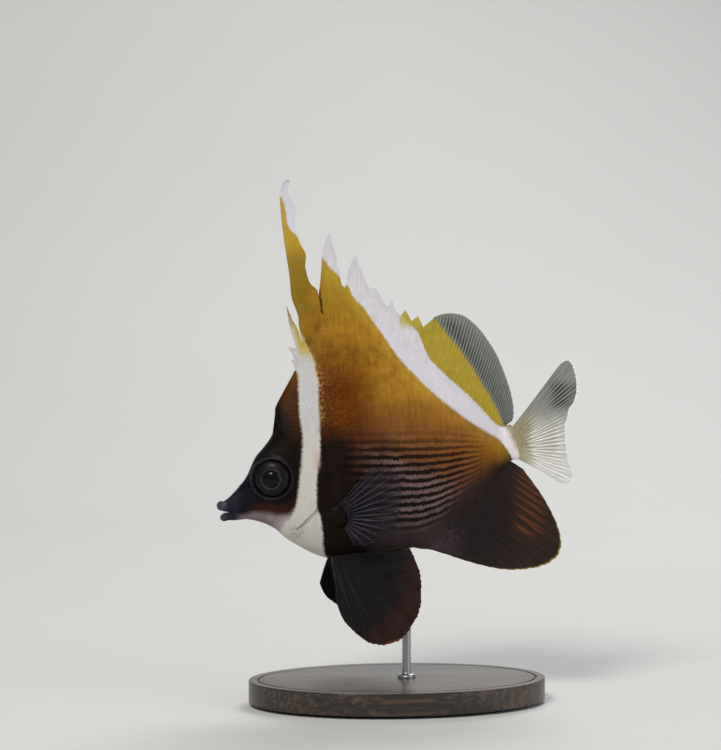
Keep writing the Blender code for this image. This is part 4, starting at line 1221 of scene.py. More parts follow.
@dataclass(frozen=True)
class FinFinish(Finish):
    """The thin, moist skin of a fin, stretched over its rays and partly clear between them.

    Colours and clearness run from the root at 0 to the margin at 1. A web without colours bears
    the fish's markings.
    """

    ray: Stops
    web: Stops = ()
    ray_strength: float = 0.7
    ray_from: Pair = (0.0, 0.01)
    ray_solid: Stops = ((0, 1), (1, 1))
    solid: Stops = ((0, 1), (1, 1))
    clear_past: Edge | None = None
    layers: tuple[Layer, ...] = ()
    ray_layers: tuple[Layer, ...] = ()
    margin: str = ""
    margin_strength: float = 0.0
    tone: float = 0.2
    streaks: float = 90.0
    pattern: Pattern = Pattern()

    def layered(self, tree: Tree, place: Place, colour: Socket, layers: tuple[Layer, ...]) -> Socket:
        """Adds layers of colour over a colour.

        Args:
            tree: The material's nodes.
            place: The position in the window.
            colour: The colour below.
            layers: The layers, the lowest first.

        Returns:
            The colour.
        """
        for layer in layers:
            colour = add(tree, "Mix", layer.mask(tree, place), colour, layer.colour, data_type="RGBA")
        return colour

    def inputs(self, tree: Tree) -> dict[str, Socket]:
        """The colours of web, rays and margin with fine streaks, the clearness and the relief.

        Args:
            tree: The material's nodes.

        Returns:
            The outputs by the shader's input.
        """
        uv = add(tree, "UVMap", uv_map="fin")
        out = add(tree, "SeparateXYZ", uv, out="Y")
        ray = add(tree, "Attribute", attribute_name="ray", out="Fac")
        streak = add(tree, "TexNoise", add(tree, "Mapping", uv, None, None, (self.streaks, 5, 1)), 1, 3)
        place = self.pattern.position(tree)
        web = add(tree, "ValToRGB", out, stops=self.web) if self.web else self.pattern.colour(tree)
        bony = self.layered(tree, place, add(tree, "ValToRGB", out, stops=self.ray), self.ray_layers)
        shown = add(tree, "MapRange", out, *self.ray_from, 0, self.ray_strength)
        shown = add(tree, "Math", ray, shown, operation="MULTIPLY")
        colour = self.layered(tree, place, web, self.layers)
        colour = add(tree, "Mix", shown, colour, bony, data_type="RGBA")
        if self.margin:
            rim = add(tree, "MapRange", out, 0.975, 0.987, 0, self.margin_strength)
            colour = add(tree, "Mix", rim, colour, self.margin, data_type="RGBA")
        tone = add(tree, "MapRange", streak, 0.3, 0.7, 1 - self.tone, 1 + self.tone)
        solid = add(tree, "ValToRGB", out, stops=self.solid)
        if self.clear_past:
            solid = add(tree, "Mix", self.clear_past.mask(tree, place), "#ffffff", solid, data_type="RGBA")
        bony = add(tree, "Math", ray, add(tree, "ValToRGB", out, stops=self.ray_solid), operation="MULTIPLY")
        return {"Base Color": add(tree, "VectorMath", colour, tone, operation="SCALE"),
                "Alpha": add(tree, "Math", solid, bony, operation="MAXIMUM"),
                "Normal": add(tree, "Bump", 0.3, 0.015 * MM, None, streak)}


@dataclass
class Fin:
    """A fin: rays that fork towards the margin, and a thin web between them.

    u runs across the rays and v from the root at 0 to the margin at 1.
    root gives points of the fin's foot by u.
    """

    name: str
    rays: int
    slot: str
    finish: FinFinish
    replaced: str
    root: Callable[[Array], Array] | None = None
    margin: Points = ()
    per_ray: int = 14
    rows: int = 48
    sunk: float = 1.0
    sway: float = 0.0
    flute: float = 0.06
    notch: float = 0.012
    root_thickness: float = 1.0
    ray_thickness: Pair = (0.72, 0.3)
    web_thickness: Pair = (0.34, 0.16)
    forks: Pair = (0.42, 0.74)
    fork_spread: Pair = (0.17, 0.075)
    ray_width: Pair = (0.15, 0.065)

    def shares(self) -> Array:
        """Where the columns of the fin's mesh lie, from 0 to 1."""
        return np.linspace(0, 1, (self.rays - 1) * self.per_ray + 1)

    def ray_at(self, u: Array, v: Array) -> Array:
        """How much of a ray there is at each place: 1 on a ray and 0 between two.

        Args:
            u: Places across the rays.
            v: Places along them.

        Returns:
            Numbers from 0 to 1.
        """
        off = np.abs(u * (self.rays - 1) - np.round(u * (self.rays - 1)))
        first, second = (reach * smooth(v, fork, fork + run)
                         for reach, fork, run in zip(self.fork_spread, self.forks, (0.3, 0.2)))
        width = self.ray_width[0] + (self.ray_width[1] - self.ray_width[0]) * smooth(v, 0.2, 0.95)
        return bump(np.minimum(np.abs(off - first - second), np.abs(off - first + second)), width)

    def reach(self, u: Array, v: Array) -> Array:
        """How far out each place lies, as the web falls a little short of the rays at the margin."""
        return v * (1 - self.notch * (1 - self.ray_at(u[0], np.ones_like(u[0]))))

    def flutes(self, u: Array, v: Array) -> Array:
        """Shallow flutes between the rays, deeper towards the margin."""
        return self.flute * v * np.cos(2 * np.pi * u * (self.rays - 1))

    def place(self, u: Array, v: Array) -> Array:
        """The fin's middle surface. Each kind of fin has its own."""
        raise NotImplementedError

    def thickness(self, v: Array, ray: Array) -> Array:
        """Thickness of the fin, in millimetres.

        Args:
            v: Places along the rays, from 0 at the root.
            ray: How much of a ray there is at each place.

        Returns:
            The thickness at each place.
        """
        ease = smooth(v, 0, 1)
        bony, web = (root + (tip - root) * ease for root, tip in (self.ray_thickness, self.web_thickness))
        free = web + (bony - web) * ray
        return self.root_thickness + (free - self.root_thickness) * smooth(v, -0.02, 0.24)

    def build(self) -> Piece:
        """Makes the fin.

        Returns:
            The finished piece.
        """
        u, v = np.meshgrid(self.shares(), np.linspace(0, 1, self.rows + 1) ** 0.95)
        ray = self.ray_at(u, v)
        sheet = lay_sheet(self.name, self.place(u, v))
        sheet.data.uv_layers[0].name = "fin"
        set_attribute(sheet, "ray", ray)
        group = sheet.vertex_groups.new(name="thickness")
        for index, weight in enumerate(self.thickness(v, ray).ravel() / self.root_thickness):
            group.add((index,), min(float(weight), 1.0), "REPLACE")
        apply(sheet, "SOLIDIFY", thickness=self.root_thickness * MM, offset=0.0, vertex_group="thickness")
        shade(sheet, 60)
        return dress(sheet, self.finish.material(), self.slot, self.replaced)


@dataclass
class MiddleFin(Fin):
    """A soft fin in the mid plane, on the back, under the belly or on the tail."""

    def place(self, u: Array, v: Array) -> Array:
        """The fin's middle surface, with a slow wave across it and shallow flutes between its rays.

        Args:
            u: Places across the rays, from 0 to 1.
            v: Places along them, from 0 at the root.

        Returns:
            The points in millimetres, with x, y and z on the last axis.
        """
        foot, tip = self.root(u[0]), along_curve(self.margin, u[0])
        foot = foot - unit(tip - foot) * self.sunk
        flat = foot + (tip - foot) * self.reach(u, v)[..., None]
        y = self.sway * v * v * np.sin(2.2 * np.pi * u + 0.6) + self.flutes(u, v)
        return np.insert(flat, 1, y, axis=-1)


@dataclass
class SpinyFin(Fin):
    """A stretch of the spiny back fin, whose spines end in points that stand clear of the notched web."""

    tips: tuple[int, ...] = ()
    per_step: int = 7
    spine_radius: Pair = (0.62, 0.16)

    def shares(self) -> Array:
        """Where the columns of the fin's mesh lie, several between two points of the margin."""
        return np.linspace(0, 1, (len(self.margin) - 1) * self.per_step + 1)

    def ray_at(self, u: Array, v: Array) -> Array:
        """How much of a spine there is at each place, from the distance to the nearest one.

        Args:
            u: Places across the rays, from 0 to 1.
            v: Places along them, from 0 at the root.

        Returns:
            The share of a spine, from 0 to 1.
        """
        flat = self.flat(u, v)
        found = np.zeros_like(u)
        feet = self.root(np.asarray(self.tips) / (len(self.margin) - 1))
        radius = self.spine_radius[0] + (self.spine_radius[1] - self.spine_radius[0]) * v
        for foot, tip in zip(feet, np.asarray(self.margin)[list(self.tips)]):
            line = unit(tip - foot)
            offset = flat - foot
            away = np.abs(offset[..., 0] * line[1] - offset[..., 1] * line[0])
            found = np.maximum(found, bump(away, radius))
        return found

    def flat(self, u: Array, v: Array) -> Array:
        """The fin's middle surface in the side view.

        Args:
            u: Places across the rays, from 0 to 1.
            v: Places along them, from 0 at the root.

        Returns:
            The points in millimetres, with x and z on the last axis.
        """
        numbers = np.arange(len(self.margin))
        tip = np.stack([np.interp(u[0] * numbers[-1], numbers, side) for side in np.transpose(self.margin)],
                       axis=1)
        foot = self.root(u[0])
        foot = foot - unit(tip - foot) * self.sunk
        return foot + (tip - foot) * v[..., None]

    def place(self, u: Array, v: Array) -> Array:
        """The fin's middle surface, in the mid plane."""
        return np.insert(self.flat(u, v), 1, 0, axis=-1)


@dataclass
class Banner(Fin):
    """The long fourth spine of the back fin, with the ribbon behind it that tapers to a hooked tip."""

    rear: Points = ()
    curl: float = 1.6
    columns: int = 30

    def shares(self) -> Array:
        """Where the columns of the ribbon lie."""
        return np.linspace(0, 1, self.columns)

    def ray_at(self, u: Array, v: Array) -> Array:
        """The spine runs close behind the ribbon's front edge and thins out towards the tip."""
        return bump(u - 0.14, 0.10 + 0.12 * v) * (1 - 0.5 * v)

    def place(self, u: Array, v: Array) -> Array:
        """The ribbon's middle surface, which curls to one side towards its tip.

        Args:
            u: Places across the rays, from 0 to 1.
            v: Places along them, from 0 at the root.

        Returns:
            The points in millimetres, with x, y and z on the last axis.
        """
        feet = self.root(np.array([0.0, 1.0])) - (0, self.sunk)
        front, rear = (along_curve((tuple(foot), *line), v[:, 0])
                       for foot, line in zip(feet, (self.margin, self.rear)))
        flat = front[:, None] + (rear - front)[:, None] * u[0][None, :, None]
        y = self.curl * v**3 + 0.35 * np.sin(np.pi * u) * np.sin(2.6 * np.pi * v) * v
        return np.insert(flat, 1, y, axis=-1)


@dataclass
class PectoralFin(Fin):
    """A breast fin, a fan that stands out from the flank behind its fleshy pad."""

    side: Side = Side.LEFT
    flank: Flank | None = None
    foot: Points = ((-17.8, 56.7), (-16.0, 55.3), (-15.0, 53.4), (-14.9, 51.4), (-15.7, 49.9))
    out: float = math.tan(math.radians(17))
    bow: float = 0.5

    def place(self, u: Array, v: Array) -> Array:
        """The fan's middle surface.

        Args:
            u: Places across the rays, from 0 to 1.
            v: Places along them, from 0 at the root.

        Returns:
            The points in millimetres, with x, y and z on the last axis.
        """
        foot, tip = along_curve(self.foot, u[0]), along_curve(self.margin, u[0])
        start = self.flank.look_up(self.flank.width, foot[:, 0], foot[:, 1], self.flank.zs) + 0.75 - self.sunk
        reach = self.reach(u, v)
        away = start + np.linalg.norm(tip - foot, axis=1) * self.out * reach + self.bow * np.sin(np.pi * v)
        away = away + self.flutes(u, v) + self.sunk * smooth(v, 0, 0.12)
        return np.insert(foot + (tip - foot) * reach[..., None], 1, self.side.value * away, axis=-1)


@dataclass
class PelvicFin(Fin):
    """A belly fin, a broad fan that hangs from the chest and leans outwards."""

    side: Side = Side.LEFT
    tree: BVHTree | None = None
    splay: float = 0.0
    forward: float = 0.0
    foot: Pair = (-19.0, -14.6)
    foot_y: float = 2.1
    bow: float = 0.8

    def height_at(self, x: float) -> float:
        """The height of the belly over the fin's root, in millimetres."""
        start = Vector((x, self.side.value * self.foot_y, 0)) * MM
        return self.tree.ray_cast(start, Vector((0, 0, 1)))[0].z / MM

    def place(self, u: Array, v: Array) -> Array:
        """The fan's middle surface.

        Args:
            u: Places across the rays, from 0 to 1.
            v: Places along them, from 0 at the root.

        Returns:
            The points in millimetres, with x, y and z on the last axis.
        """
        x = self.foot[0] + (self.foot[1] - self.foot[0]) * u[0]
        height = np.array([self.height_at(value) for value in x]) + self.sunk
        tip = along_curve(self.margin, u[0])
        tip[:, 0] -= self.forward * (1 - u[0])
        reach = self.reach(u, v)
        down = (tip[:, 1] + self.sunk) * reach
        bow = self.bow * np.sin(np.pi * v) + self.flutes(u, v)
        y = self.foot_y + np.maximum(down, 0) * math.sin(self.splay) + bow
        return np.stack([x + (tip[:, 0] - x) * reach, self.side.value * y,
                         height - down * math.cos(self.splay)], axis=-1)


def outline(start: float, end: float, back: bool) -> Callable[[Array], Array]:
    """The root of a fin on a stretch of the body's outline, a little outside it.

    Args:
        start: Where it starts, as a place among the stations.
        end: Where it ends.
        back: Whether it is on the back or under the belly.

    Returns:
        A function from shares of the stretch to rows of (x, z).
    """
    line = np.asarray(STATIONS)[:, :2] if back else np.asarray(STATIONS)[:, 2:4]

    def root(u: Array) -> Array:
        """Points of the root at shares of the stretch.

        Args:
            u: The shares.

        Returns:
            Rows of (x, z).
        """
        place = start + (end - start) * np.asarray(u, float)
        ahead_of, behind_of = (curve_at(line, np.clip(place + step, 0, len(line) - 1))
                               for step in (0.05, -0.05))
        along = unit(ahead_of - behind_of)
        out = np.stack([-along[:, 1], along[:, 0]], axis=1) * (1 if back else -1)
        return curve_at(line, place) + out * 0.3

    return root


def tail_root(u: Array) -> Array:
    """The tail fin's root, across the end of the tail stalk and a little behind it.

    Args:
        u: Shares of the way from the top edge to the lower one.

    Returns:
        Rows of (x, z).
    """
    top, low = (np.asarray(STATIONS[-1][k:k + 2]) for k in (0, 2))
    back = unit(np.array([top[1] - low[1], low[0] - top[0]])) * 0.3
    return top + back + (low - top) * np.asarray(u)[:, None]


@dataclass
class Fins:
    """All the fins, at the places and with the margins that the CAD model has."""

    flanks: dict[Side, Flank]
    tree: BVHTree

    soft_margin: Points = ((10.25, 108.5), (12.6, 109.4), (15.7, 109.7), (19.3, 108.8), (23, 105.7),
                           (25.9, 101.8), (28.1, 98.2), (30.3, 93.1), (32.1, 88.1), (33.1, 83.7),
                           (33.2, 80.6), (32.6, 79))
    anal_margin: Points = ((9, 43.4), (14.3, 41.6), (18.7, 40), (25.2, 38.1), (31.1, 37), (37, 37.1),
                           (42.2, 38.2), (45.9, 40.7), (47, 44.3), (46.2, 48.7), (44.3, 53.1), (41.4, 58.2),
                           (37.9, 63), (35.9, 65.6))
    tail_margin: Points = ((46.8, 95.4), (48.9, 96.7), (50.4, 95.6), (51.4, 92.8), (51.8, 90.2),
                           (51.7, 87.2), (50.7, 84.4), (49.4, 82.6), (49, 80.5), (48.3, 78.1), (48.3, 75.3),
                           (48.7, 71.3), (49.3, 67.7), (50.4, 64.9), (50.6, 62.5), (49, 61.1), (46.3, 61.9))
    front_margin: Points = ((-29.2, 95.2), (-30, 96.7), (-28.9, 96.9), (-30.9, 100.3), (-28.6, 99.9),
                            (-30.5, 106.2), (-31.4, 112), (-29.7, 107.9), (-28.1, 105.2))
    spines_margin: Points = ((-22.3, 114.5), (-21.8, 119), (-21.2, 127.5), (-19.2, 132.2), (-17.5, 126),
                             (-15.8, 117.6), (-14.9, 116.9), (-14.5, 117.8), (-13.9, 121.9), (-12, 126.3),
                             (-9.7, 120.4), (-8.3, 116.9), (-6.1, 116.5), (-3.9, 112.6), (-2.7, 111.5),
                             (-1.6, 113.4), (-0.9, 110.6), (0.8, 108.9), (2.2, 110.6), (4, 107.5),
                             (5.8, 108.9), (7.3, 105.8), (10.5, 108.4))
    banner_front: Points = ((-27.7, 105.5), (-28.1, 109.1), (-29.8, 114), (-30.5, 120.4), (-31.6, 127.5),
                            (-32.4, 133.5), (-32.8, 138.1), (-33, 142.5), (-32.3, 145.6), (-31.2, 146.8),
                            (-30.2, 146.7))
    banner_rear: Points = ((-22.3, 111.5), (-22.6, 115.9), (-24.8, 118.3), (-26, 122.6), (-25.9, 126.1),
                           (-27.7, 129.7), (-28.9, 134.6), (-28.5, 138.9), (-30.2, 142), (-31, 144.6),
                           (-30.1, 146.1))
    pectoral_margin: Points = ((-9.8, 66.6), (-5.6, 67.8), (-2.2, 65.6), (-0.8, 61), (-0.9, 55.4),
                               (-2.6, 51), (-6, 47.4), (-10, 45.4), (-13.4, 45.3))
    pelvic_margin: Points = ((-18.1, 12.3), (-16.4, 17.4), (-13.1, 21.3), (-9.8, 24), (-6, 25), (-2.7, 24.8),
                             (0.6, 22.9), (4, 18.7), (5.7, 14.4), (6.2, 10.2), (5.7, 4), (3.4, -1.5))

    spiny: FinFinish = FinFinish(
        "moist_spiny_fin", MOIST_FIN, ((0, "#b08a2c"), (0.4, "#b09440"), (1, "#d4d0da")), ray_strength=0.1,
        streaks=60, tone=0.1, solid=((0, 1), (0.6, 1), (0.95, 0.8), (1, 0.7)))
    soft: FinFinish = FinFinish(
        "moist_soft_back_fin", MOIST_FIN, ((0, "#a8943c"), (1, "#ab9640")), ray_strength=0.8, tone=0.12,
        solid=((0, 1), (0.3, 0.95), (0.5, 0.9), (0.8, 0.85), (1, 0.75)),
        clear_past=above(SOFT_YELLOW_TOP, 1.5),
        layers=(Layer("#4b504e", (above(SOFT_YELLOW_TOP, 2.4),)),
                Layer("#5a5e5b", (above(shifted(SOFT_YELLOW_TOP, 7), 5),), 0.85),
                Layer("#161d20", (above(shifted(SOFT_YELLOW_TOP, 1.4), 1.8),
                                  below(shifted(SOFT_YELLOW_TOP, 5), 6), behind(14, 5)), 0.85)),
        ray_layers=(Layer("#94968d", (above(SOFT_YELLOW_TOP, 1.6),)),
                    Layer("#d3d0d7", (below(BAND_2_TOP, 1.1),))),
        margin="#8d8e88", margin_strength=0.6)
    tail: FinFinish = FinFinish(
        "moist_tail_fin", MOIST_FIN,
        ((0, "#ada27c"), (0.15, "#c4bc9e"), (0.35, "#f8f5ee"), (0.75, "#f8f7f3"), (1, "#e4e4e2")),
        ((0, "#a39970"), (0.12, "#a0967a"), (0.35, "#9c998b"), (1, "#a6a7a6")), 0.95, (0.04, 0.3), tone=0.16,
        solid=((0, 1), (0.15, 0.98), (0.4, 0.94), (0.9, 0.9), (1, 0.95)),
        layers=(Layer("#767a78", (above(82, 12),), 0.85),
                Layer("#1a2023", (behind(43.8, 4), above(82.8, 3), below(90, 3)), 0.9),
                Layer("#d6d6d4", (below(69, 8), behind(37, 5)), 0.75),
                Layer("#6f5a3a", (behind(33.2, 1), ahead(37.5, 3), above(71, 2), below(79, 2)), 0.6, 0.9)),
        ray_layers=(Layer("#868883", (above(79, 9),), 0.95),), margin="#f4f4f4", margin_strength=1)
    anal: FinFinish = FinFinish(
        "moist_anal_fin", MOIST_FIN, ((0, "#2b2121"), (0.5, "#2c2221"), (1, "#3c3232")), ray_strength=0.35,
        ray_from=(0.15, 0.5), tone=0.25,
        layers=(Layer("#2b1d18", (behind(29, 1.5), below(70.5, 1))),
                Layer("#12100e", (behind(18, 12), ahead(34, 6), above(40, 8)), 0.5),
                Layer("#3c241a", (behind(33.5, 5), ahead(43, 6), above(46, 4), below(66, 4)), 0.5),
                Layer("#3c3036", (ahead(17, 8), below(50, 6)), 0.6)),
        ray_layers=(Layer("#94502c", (behind(34, 2.5), ahead(41.5, 4), above(47, 4), below(65, 5))),),
        margin="#8f7c3c", margin_strength=0.75)
    pelvic: FinFinish = FinFinish(
        "moist_pelvic_fin", MOIST_FIN, ((0, "#1a1617"), (0.6, "#241d1e"), (1, "#2c2424")),
        ((0, "#0f0c0d"), (0.5, "#120f11"), (1, "#171315")), 0.3, tone=0.35,
        layers=(Layer("#3a1a10", (behind(((14, -14), (20, -9), (26, -3), (32, 1), (42, 3)), 9),), 0.5),
                Layer("#7d4414", (behind(((16.5, -6), (20, 0.6), (24, 4.2), (28, 6.2)), 0.8),
                                  below(25, 5)), 0.75)),
        margin="#2a2022", margin_strength=0.4)
    pectoral: FinFinish = FinFinish(
        "clear_breast_fin", wet(0.55, 0.08, 0.18), ((0, "#35303c"), (0.4, "#4c4756"), (1, "#332f3b")),
        ((0, "#141116"), (1, "#221c24")), 0.95, tone=0.1, ray_solid=((0, 1), (0.5, 0.9), (1, 0.3)),
        solid=((0, 0.85), (0.3, 0.62), (0.7, 0.42), (1, 0.25)))

    def pair(self, side: Side) -> list[Fin]:
        """The breast fin and the belly fin of one side.

        Args:
            side: The side.

        Returns:
            Both fins.
        """
        end = side.name.lower()
        splay, forward = (14, 0.0) if side is Side.LEFT else (42, 2.6)
        return [PectoralFin("breast_fin_" + end, 14, "clear_fin", self.pectoral, "pectoral_fin_" + end,
                            margin=self.pectoral_margin, side=side, flank=self.flanks[side], sunk=0.5,
                            rows=36, per_ray=16, forks=(2, 2), ray_width=(0.13, 0.075),
                            web_thickness=(0.24, 0.1), ray_thickness=(0.6, 0.22)),
                PelvicFin("belly_fin_" + end, 7, "dark_fin", self.pelvic, "pelvic_fin_" + end,
                          margin=self.pelvic_margin, side=side, tree=self.tree, splay=math.radians(splay),
                          forward=forward, sunk=0.8, per_ray=20, flute=0.12, ray_width=(0.1, 0.05))]

    def build(self) -> list[Piece]:
        """Makes all the fins.

        Returns:
            The fins of the back and the belly, whose roots the scales run on to.
        """
        spiny = {"sunk": 1.2, "finish": self.spiny}
        fins: list[Fin] = [
            SpinyFin("front_spines", 4, "white_fin", replaced="dorsal_front", root=outline(12.1, 13.05, True),
                     margin=self.front_margin, tips=(1, 3, 6), rows=30, **spiny),
            Banner("banner", 2, "gold_fin", replaced="dorsal_banner", root=outline(13.15, 14, True),
                   margin=self.banner_front, rear=self.banner_rear, rows=110, **spiny),
            SpinyFin("rear_spines", 8, "gold_fin", replaced="dorsal_spines", root=outline(13.9, 18.6, True),
                     margin=self.spines_margin, tips=(3, 9, 12, 15, 18, 20, 22), rows=60, **spiny),
            MiddleFin("soft_back_fin", 23, "gold_fin", self.soft, "dorsal_soft", outline(18.55, 22.75, True),
                      self.soft_margin, 20, sway=0.6, forks=(0.08, 0.8), fork_spread=(0.25, 0.1),
                      ray_width=(0.17, 0.1)),
            MiddleFin("anal_rays", 20, "dark_fin", self.anal, "anal_fin", outline(15.2, 22.6, False),
                      self.anal_margin, sway=0.6),
            MiddleFin("tail_rays", 17, "white_fin", self.tail, "caudal_fin", tail_root, self.tail_margin, 28,
                      sunk=0.8, sway=0.5, root_thickness=2.2, forks=(0.15, 0.72), fork_spread=(0.25, 0.1),
                      ray_width=(0.16, 0.085)),
        ]
        made = [fin.build() for fin in fins + self.pair(Side.LEFT) + self.pair(Side.RIGHT)]
        return made[:5]


@dataclass(frozen=True)
class IrisFinish(Finish):
    """The iris: dark, mottled pigment with a thin bright ring round the pupil, under a wet cornea."""

    stops: Stops = ((0, "#050506"), (0.5, "#070608"), (0.53, "#3a3640"), (0.58, "#241f26"), (0.64, "#120e10"),
                    (0.8, "#171214"), (0.92, "#120e10"), (1, "#0a0809"))

    def inputs(self, tree: Tree) -> dict[str, Socket]:
        """The mottled pigment by the distance from the eye's axis.

        Args:
            tree: The material's nodes.

        Returns:
            The outputs by the shader's input.
        """
        radius = add(tree, "Attribute", attribute_name="radius", out="Fac")
        pigment = add(tree, "ValToRGB", add(tree, "MapRange", radius, 0, 5), stops=self.stops)
        mottle = add(tree, "TexNoise", add(tree, "TexCoord", out="Object"), 900, 4)
        tone = add(tree, "MapRange", mottle, 0.35, 0.65, 0.6, 1.7)
        return {"Base Color": add(tree, "VectorMath", pigment, tone, operation="SCALE"),
                "Normal": add(tree, "Bump", 0.25, 0.1 * MM, None, mottle)}


@dataclass
class Eye:
    """One eye: a dark iris round a pupil that bulges as a dome, set in the head's socket."""

    side: Side
    iris: Points = ((2.35, 1.05), (2.6, 1.0), (2.85, 0.98), (3.1, 1.02), (3.5, 0.9), (4.1, 0.62), (4.6, 0.32),
                    (4.9, -0.05), (5.0, -0.5), (5.0, -1.9), (4.7, -2.25), (0.0, -2.25))
    pupil: Points = ((0.0, 1.95), (0.7, 1.9), (1.4, 1.74), (2.0, 1.46), (2.4, 1.12), (2.5, 0.95), (2.4, 0.8),
                     (0.0, 0.7))
    cornea: IrisFinish = IrisFinish("wet_iris", wet(0.45, 0.06, 0.15, 0.12))
    # A clear lens over a black hollow looks nearly black, with a sharp wet gloss.
    lens: GrainFinish = GrainFinish("wet_pupil", wet(0.3, 0.3, 0.1, 0.03), ((0, "#030304"), (1, "#08080a")),
                                    (300, 300, 300), 2)

    def turn(self, name: str, profile: Points, steps: int) -> Piece:
        """Turns a profile of (radius, height) round the eye's axis, which looks out of the head.

        Args:
            name: The piece's name.
            profile: The profile's points.
            steps: Points along the smoothed profile.

        Returns:
            The closed piece, in place.
        """
        smoothed = curve_at(profile, np.linspace(0, len(profile) - 1, steps * 4))
        line = evenly(smoothed, np.linspace(0, 1, steps))
        grid = turned(line, 96)
        x, y, z = EYE_CENTRE
        side = self.side.value
        out = Vector((-math.sin(EYE_TURN), side * math.cos(EYE_TURN), 0))
        facing = np.array(out.to_track_quat("Z", "Y").to_matrix())
        piece = lay_sheet(name, grid @ facing.T + (x, side * y, z))
        set_attribute(piece, "radius", np.repeat(line[:, 0], grid.shape[1]))
        close_up(piece, 0.0005)
        shade(piece, 50)
        return piece

    def build(self) -> None:
        """Makes the eye."""
        end = self.side.name.lower()
        dress(self.turn("iris_" + end, self.iris, 40), self.cornea.material(), "eye", "eye_" + end)
        dress(self.turn("pupil_" + end, self.pupil, 22), self.lens.material(), "eye")


@dataclass
class Stand:
    """The display stand: an oval wooden plinth with a moulded edge, and one steel rod up to the belly."""

    length: float = 84.0
    depth: float = 56.0
    height: float = 7.0
    rim: Pair = (2.4, 0.5)
    rod_x: float = 2.6
    rod_radius: float = 1.25
    foot_radius: float = 2.5
    foot_height: float = 1.6
    # Nearly black wood has fine, lighter lines along its grain, under a satin lacquer.
    wood: GrainFinish = GrainFinish(
        "lacquered_wenge", {"Roughness": 0.42, "Coat Weight": 0.35, "Coat Roughness": 0.22, "Coat IOR": 1.5},
        ((0.62, "#17110d"), (0.84, "#261c15"), (1, "#4a382a")), (60, 1400, 900), 5, 0.4,
        (12, 190, 120), (0.25, 0.08))
    # Short matted fibres leave felt matt.
    felt: GrainFinish = GrainFinish("black_felt", {"Roughness": 0.95, "Sheen Weight": 0.4},
                                    ((0, "#0c0c0c"), (1, "#242424")), (2500, 2500, 2500), 4)
    # Fine scratches round the rod draw its highlight out.
    steel: GrainFinish = GrainFinish("brushed_steel", {"Metallic": 1.0}, ((0, "#8f9092"), (1, "#c4c5c7")),
                                     (300, 300, 9000), 3, relief=(0.2, 0.03), rough=(0.22, 0.42))

    def oval(self, name: str, inset: float, low: float, high: float) -> Piece:
        """An oval disc of the plinth's outline, drawn in by an inset, between two heights.

        Args:
            name: The disc's name.
            inset: The inset in millimetres.
            low: The lower height in millimetres.
            high: The upper height.

        Returns:
            The disc.
        """
        select_only()
        middle = (0, 0, (low + high) / 2 * MM)
        bpy.ops.mesh.primitive_cylinder_add(vertices=160, radius=0.5, depth=1, location=middle)
        disc = bpy.context.object
        disc.name = disc.data.name = name
        disc.scale = ((self.length - 2 * inset) * MM, (self.depth - 2 * inset) * MM, (high - low) * MM)
        bpy.ops.object.transform_apply(location=True, rotation=True, scale=True)
        return disc

    def plinth(self) -> Piece:
        """The plinth, with a small step and a hollow moulding below its rounded top edge.

        Returns:
            The finished plinth.
        """
        base = self.oval("plinth", 0, 0.8, self.height)
        pick(base, "FACE", lambda face: face.normal.z > 0.9)
        for width, rise in zip(self.rim, (-0.5, 0.5)):
            bpy.ops.mesh.inset(thickness=width * MM)
            bpy.ops.mesh.extrude_region_move(TRANSFORM_OT_translate={"value": (0, 0, rise * MM)})
        bpy.ops.object.mode_set(mode="OBJECT")
        round_edges(base, 0.9, 5, 60)
        shade(base, 35)
        return base

    def rod(self, top: float) -> Piece:
        """The rod with its collar, turned from one profile.

        Args:
            top: The height of its upper end, in millimetres.

        Returns:
            The finished rod.
        """
        low = self.height - 0.5
        foot = low + self.foot_height
        profile = np.array(((0.01, low), (self.foot_radius, low), (self.foot_radius, foot - 0.35),
                            (self.foot_radius - 0.35, foot), (self.rod_radius + 0.3, foot),
                            (self.rod_radius, foot + 0.4), (self.rod_radius, top - 0.5),
                            (self.rod_radius - 0.4, top), (0.01, top)))
        piece = lay_sheet("rod", turned(profile, 48) + (self.rod_x, 0, 0))
        close_up(piece, 0.02)
        round_edges(piece, 0.12, 2, 30)
        shade(piece, 35)
        return piece

    def build(self) -> None:
        """Makes the stand."""
        dress(self.plinth(), self.wood.material(), "stand_wood", "stand_base")
        pad = self.oval("felt_pad", 2, 0, 0.9)
        round_edges(pad, 0.2, 2, 30)
        dress(pad, self.felt.material(), "stand_wood")
        rod = self.rod(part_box("stand_rod")[1].z / MM + 0.6)
        dress(rod, self.steel.material(), "stand_steel", "stand_rod")


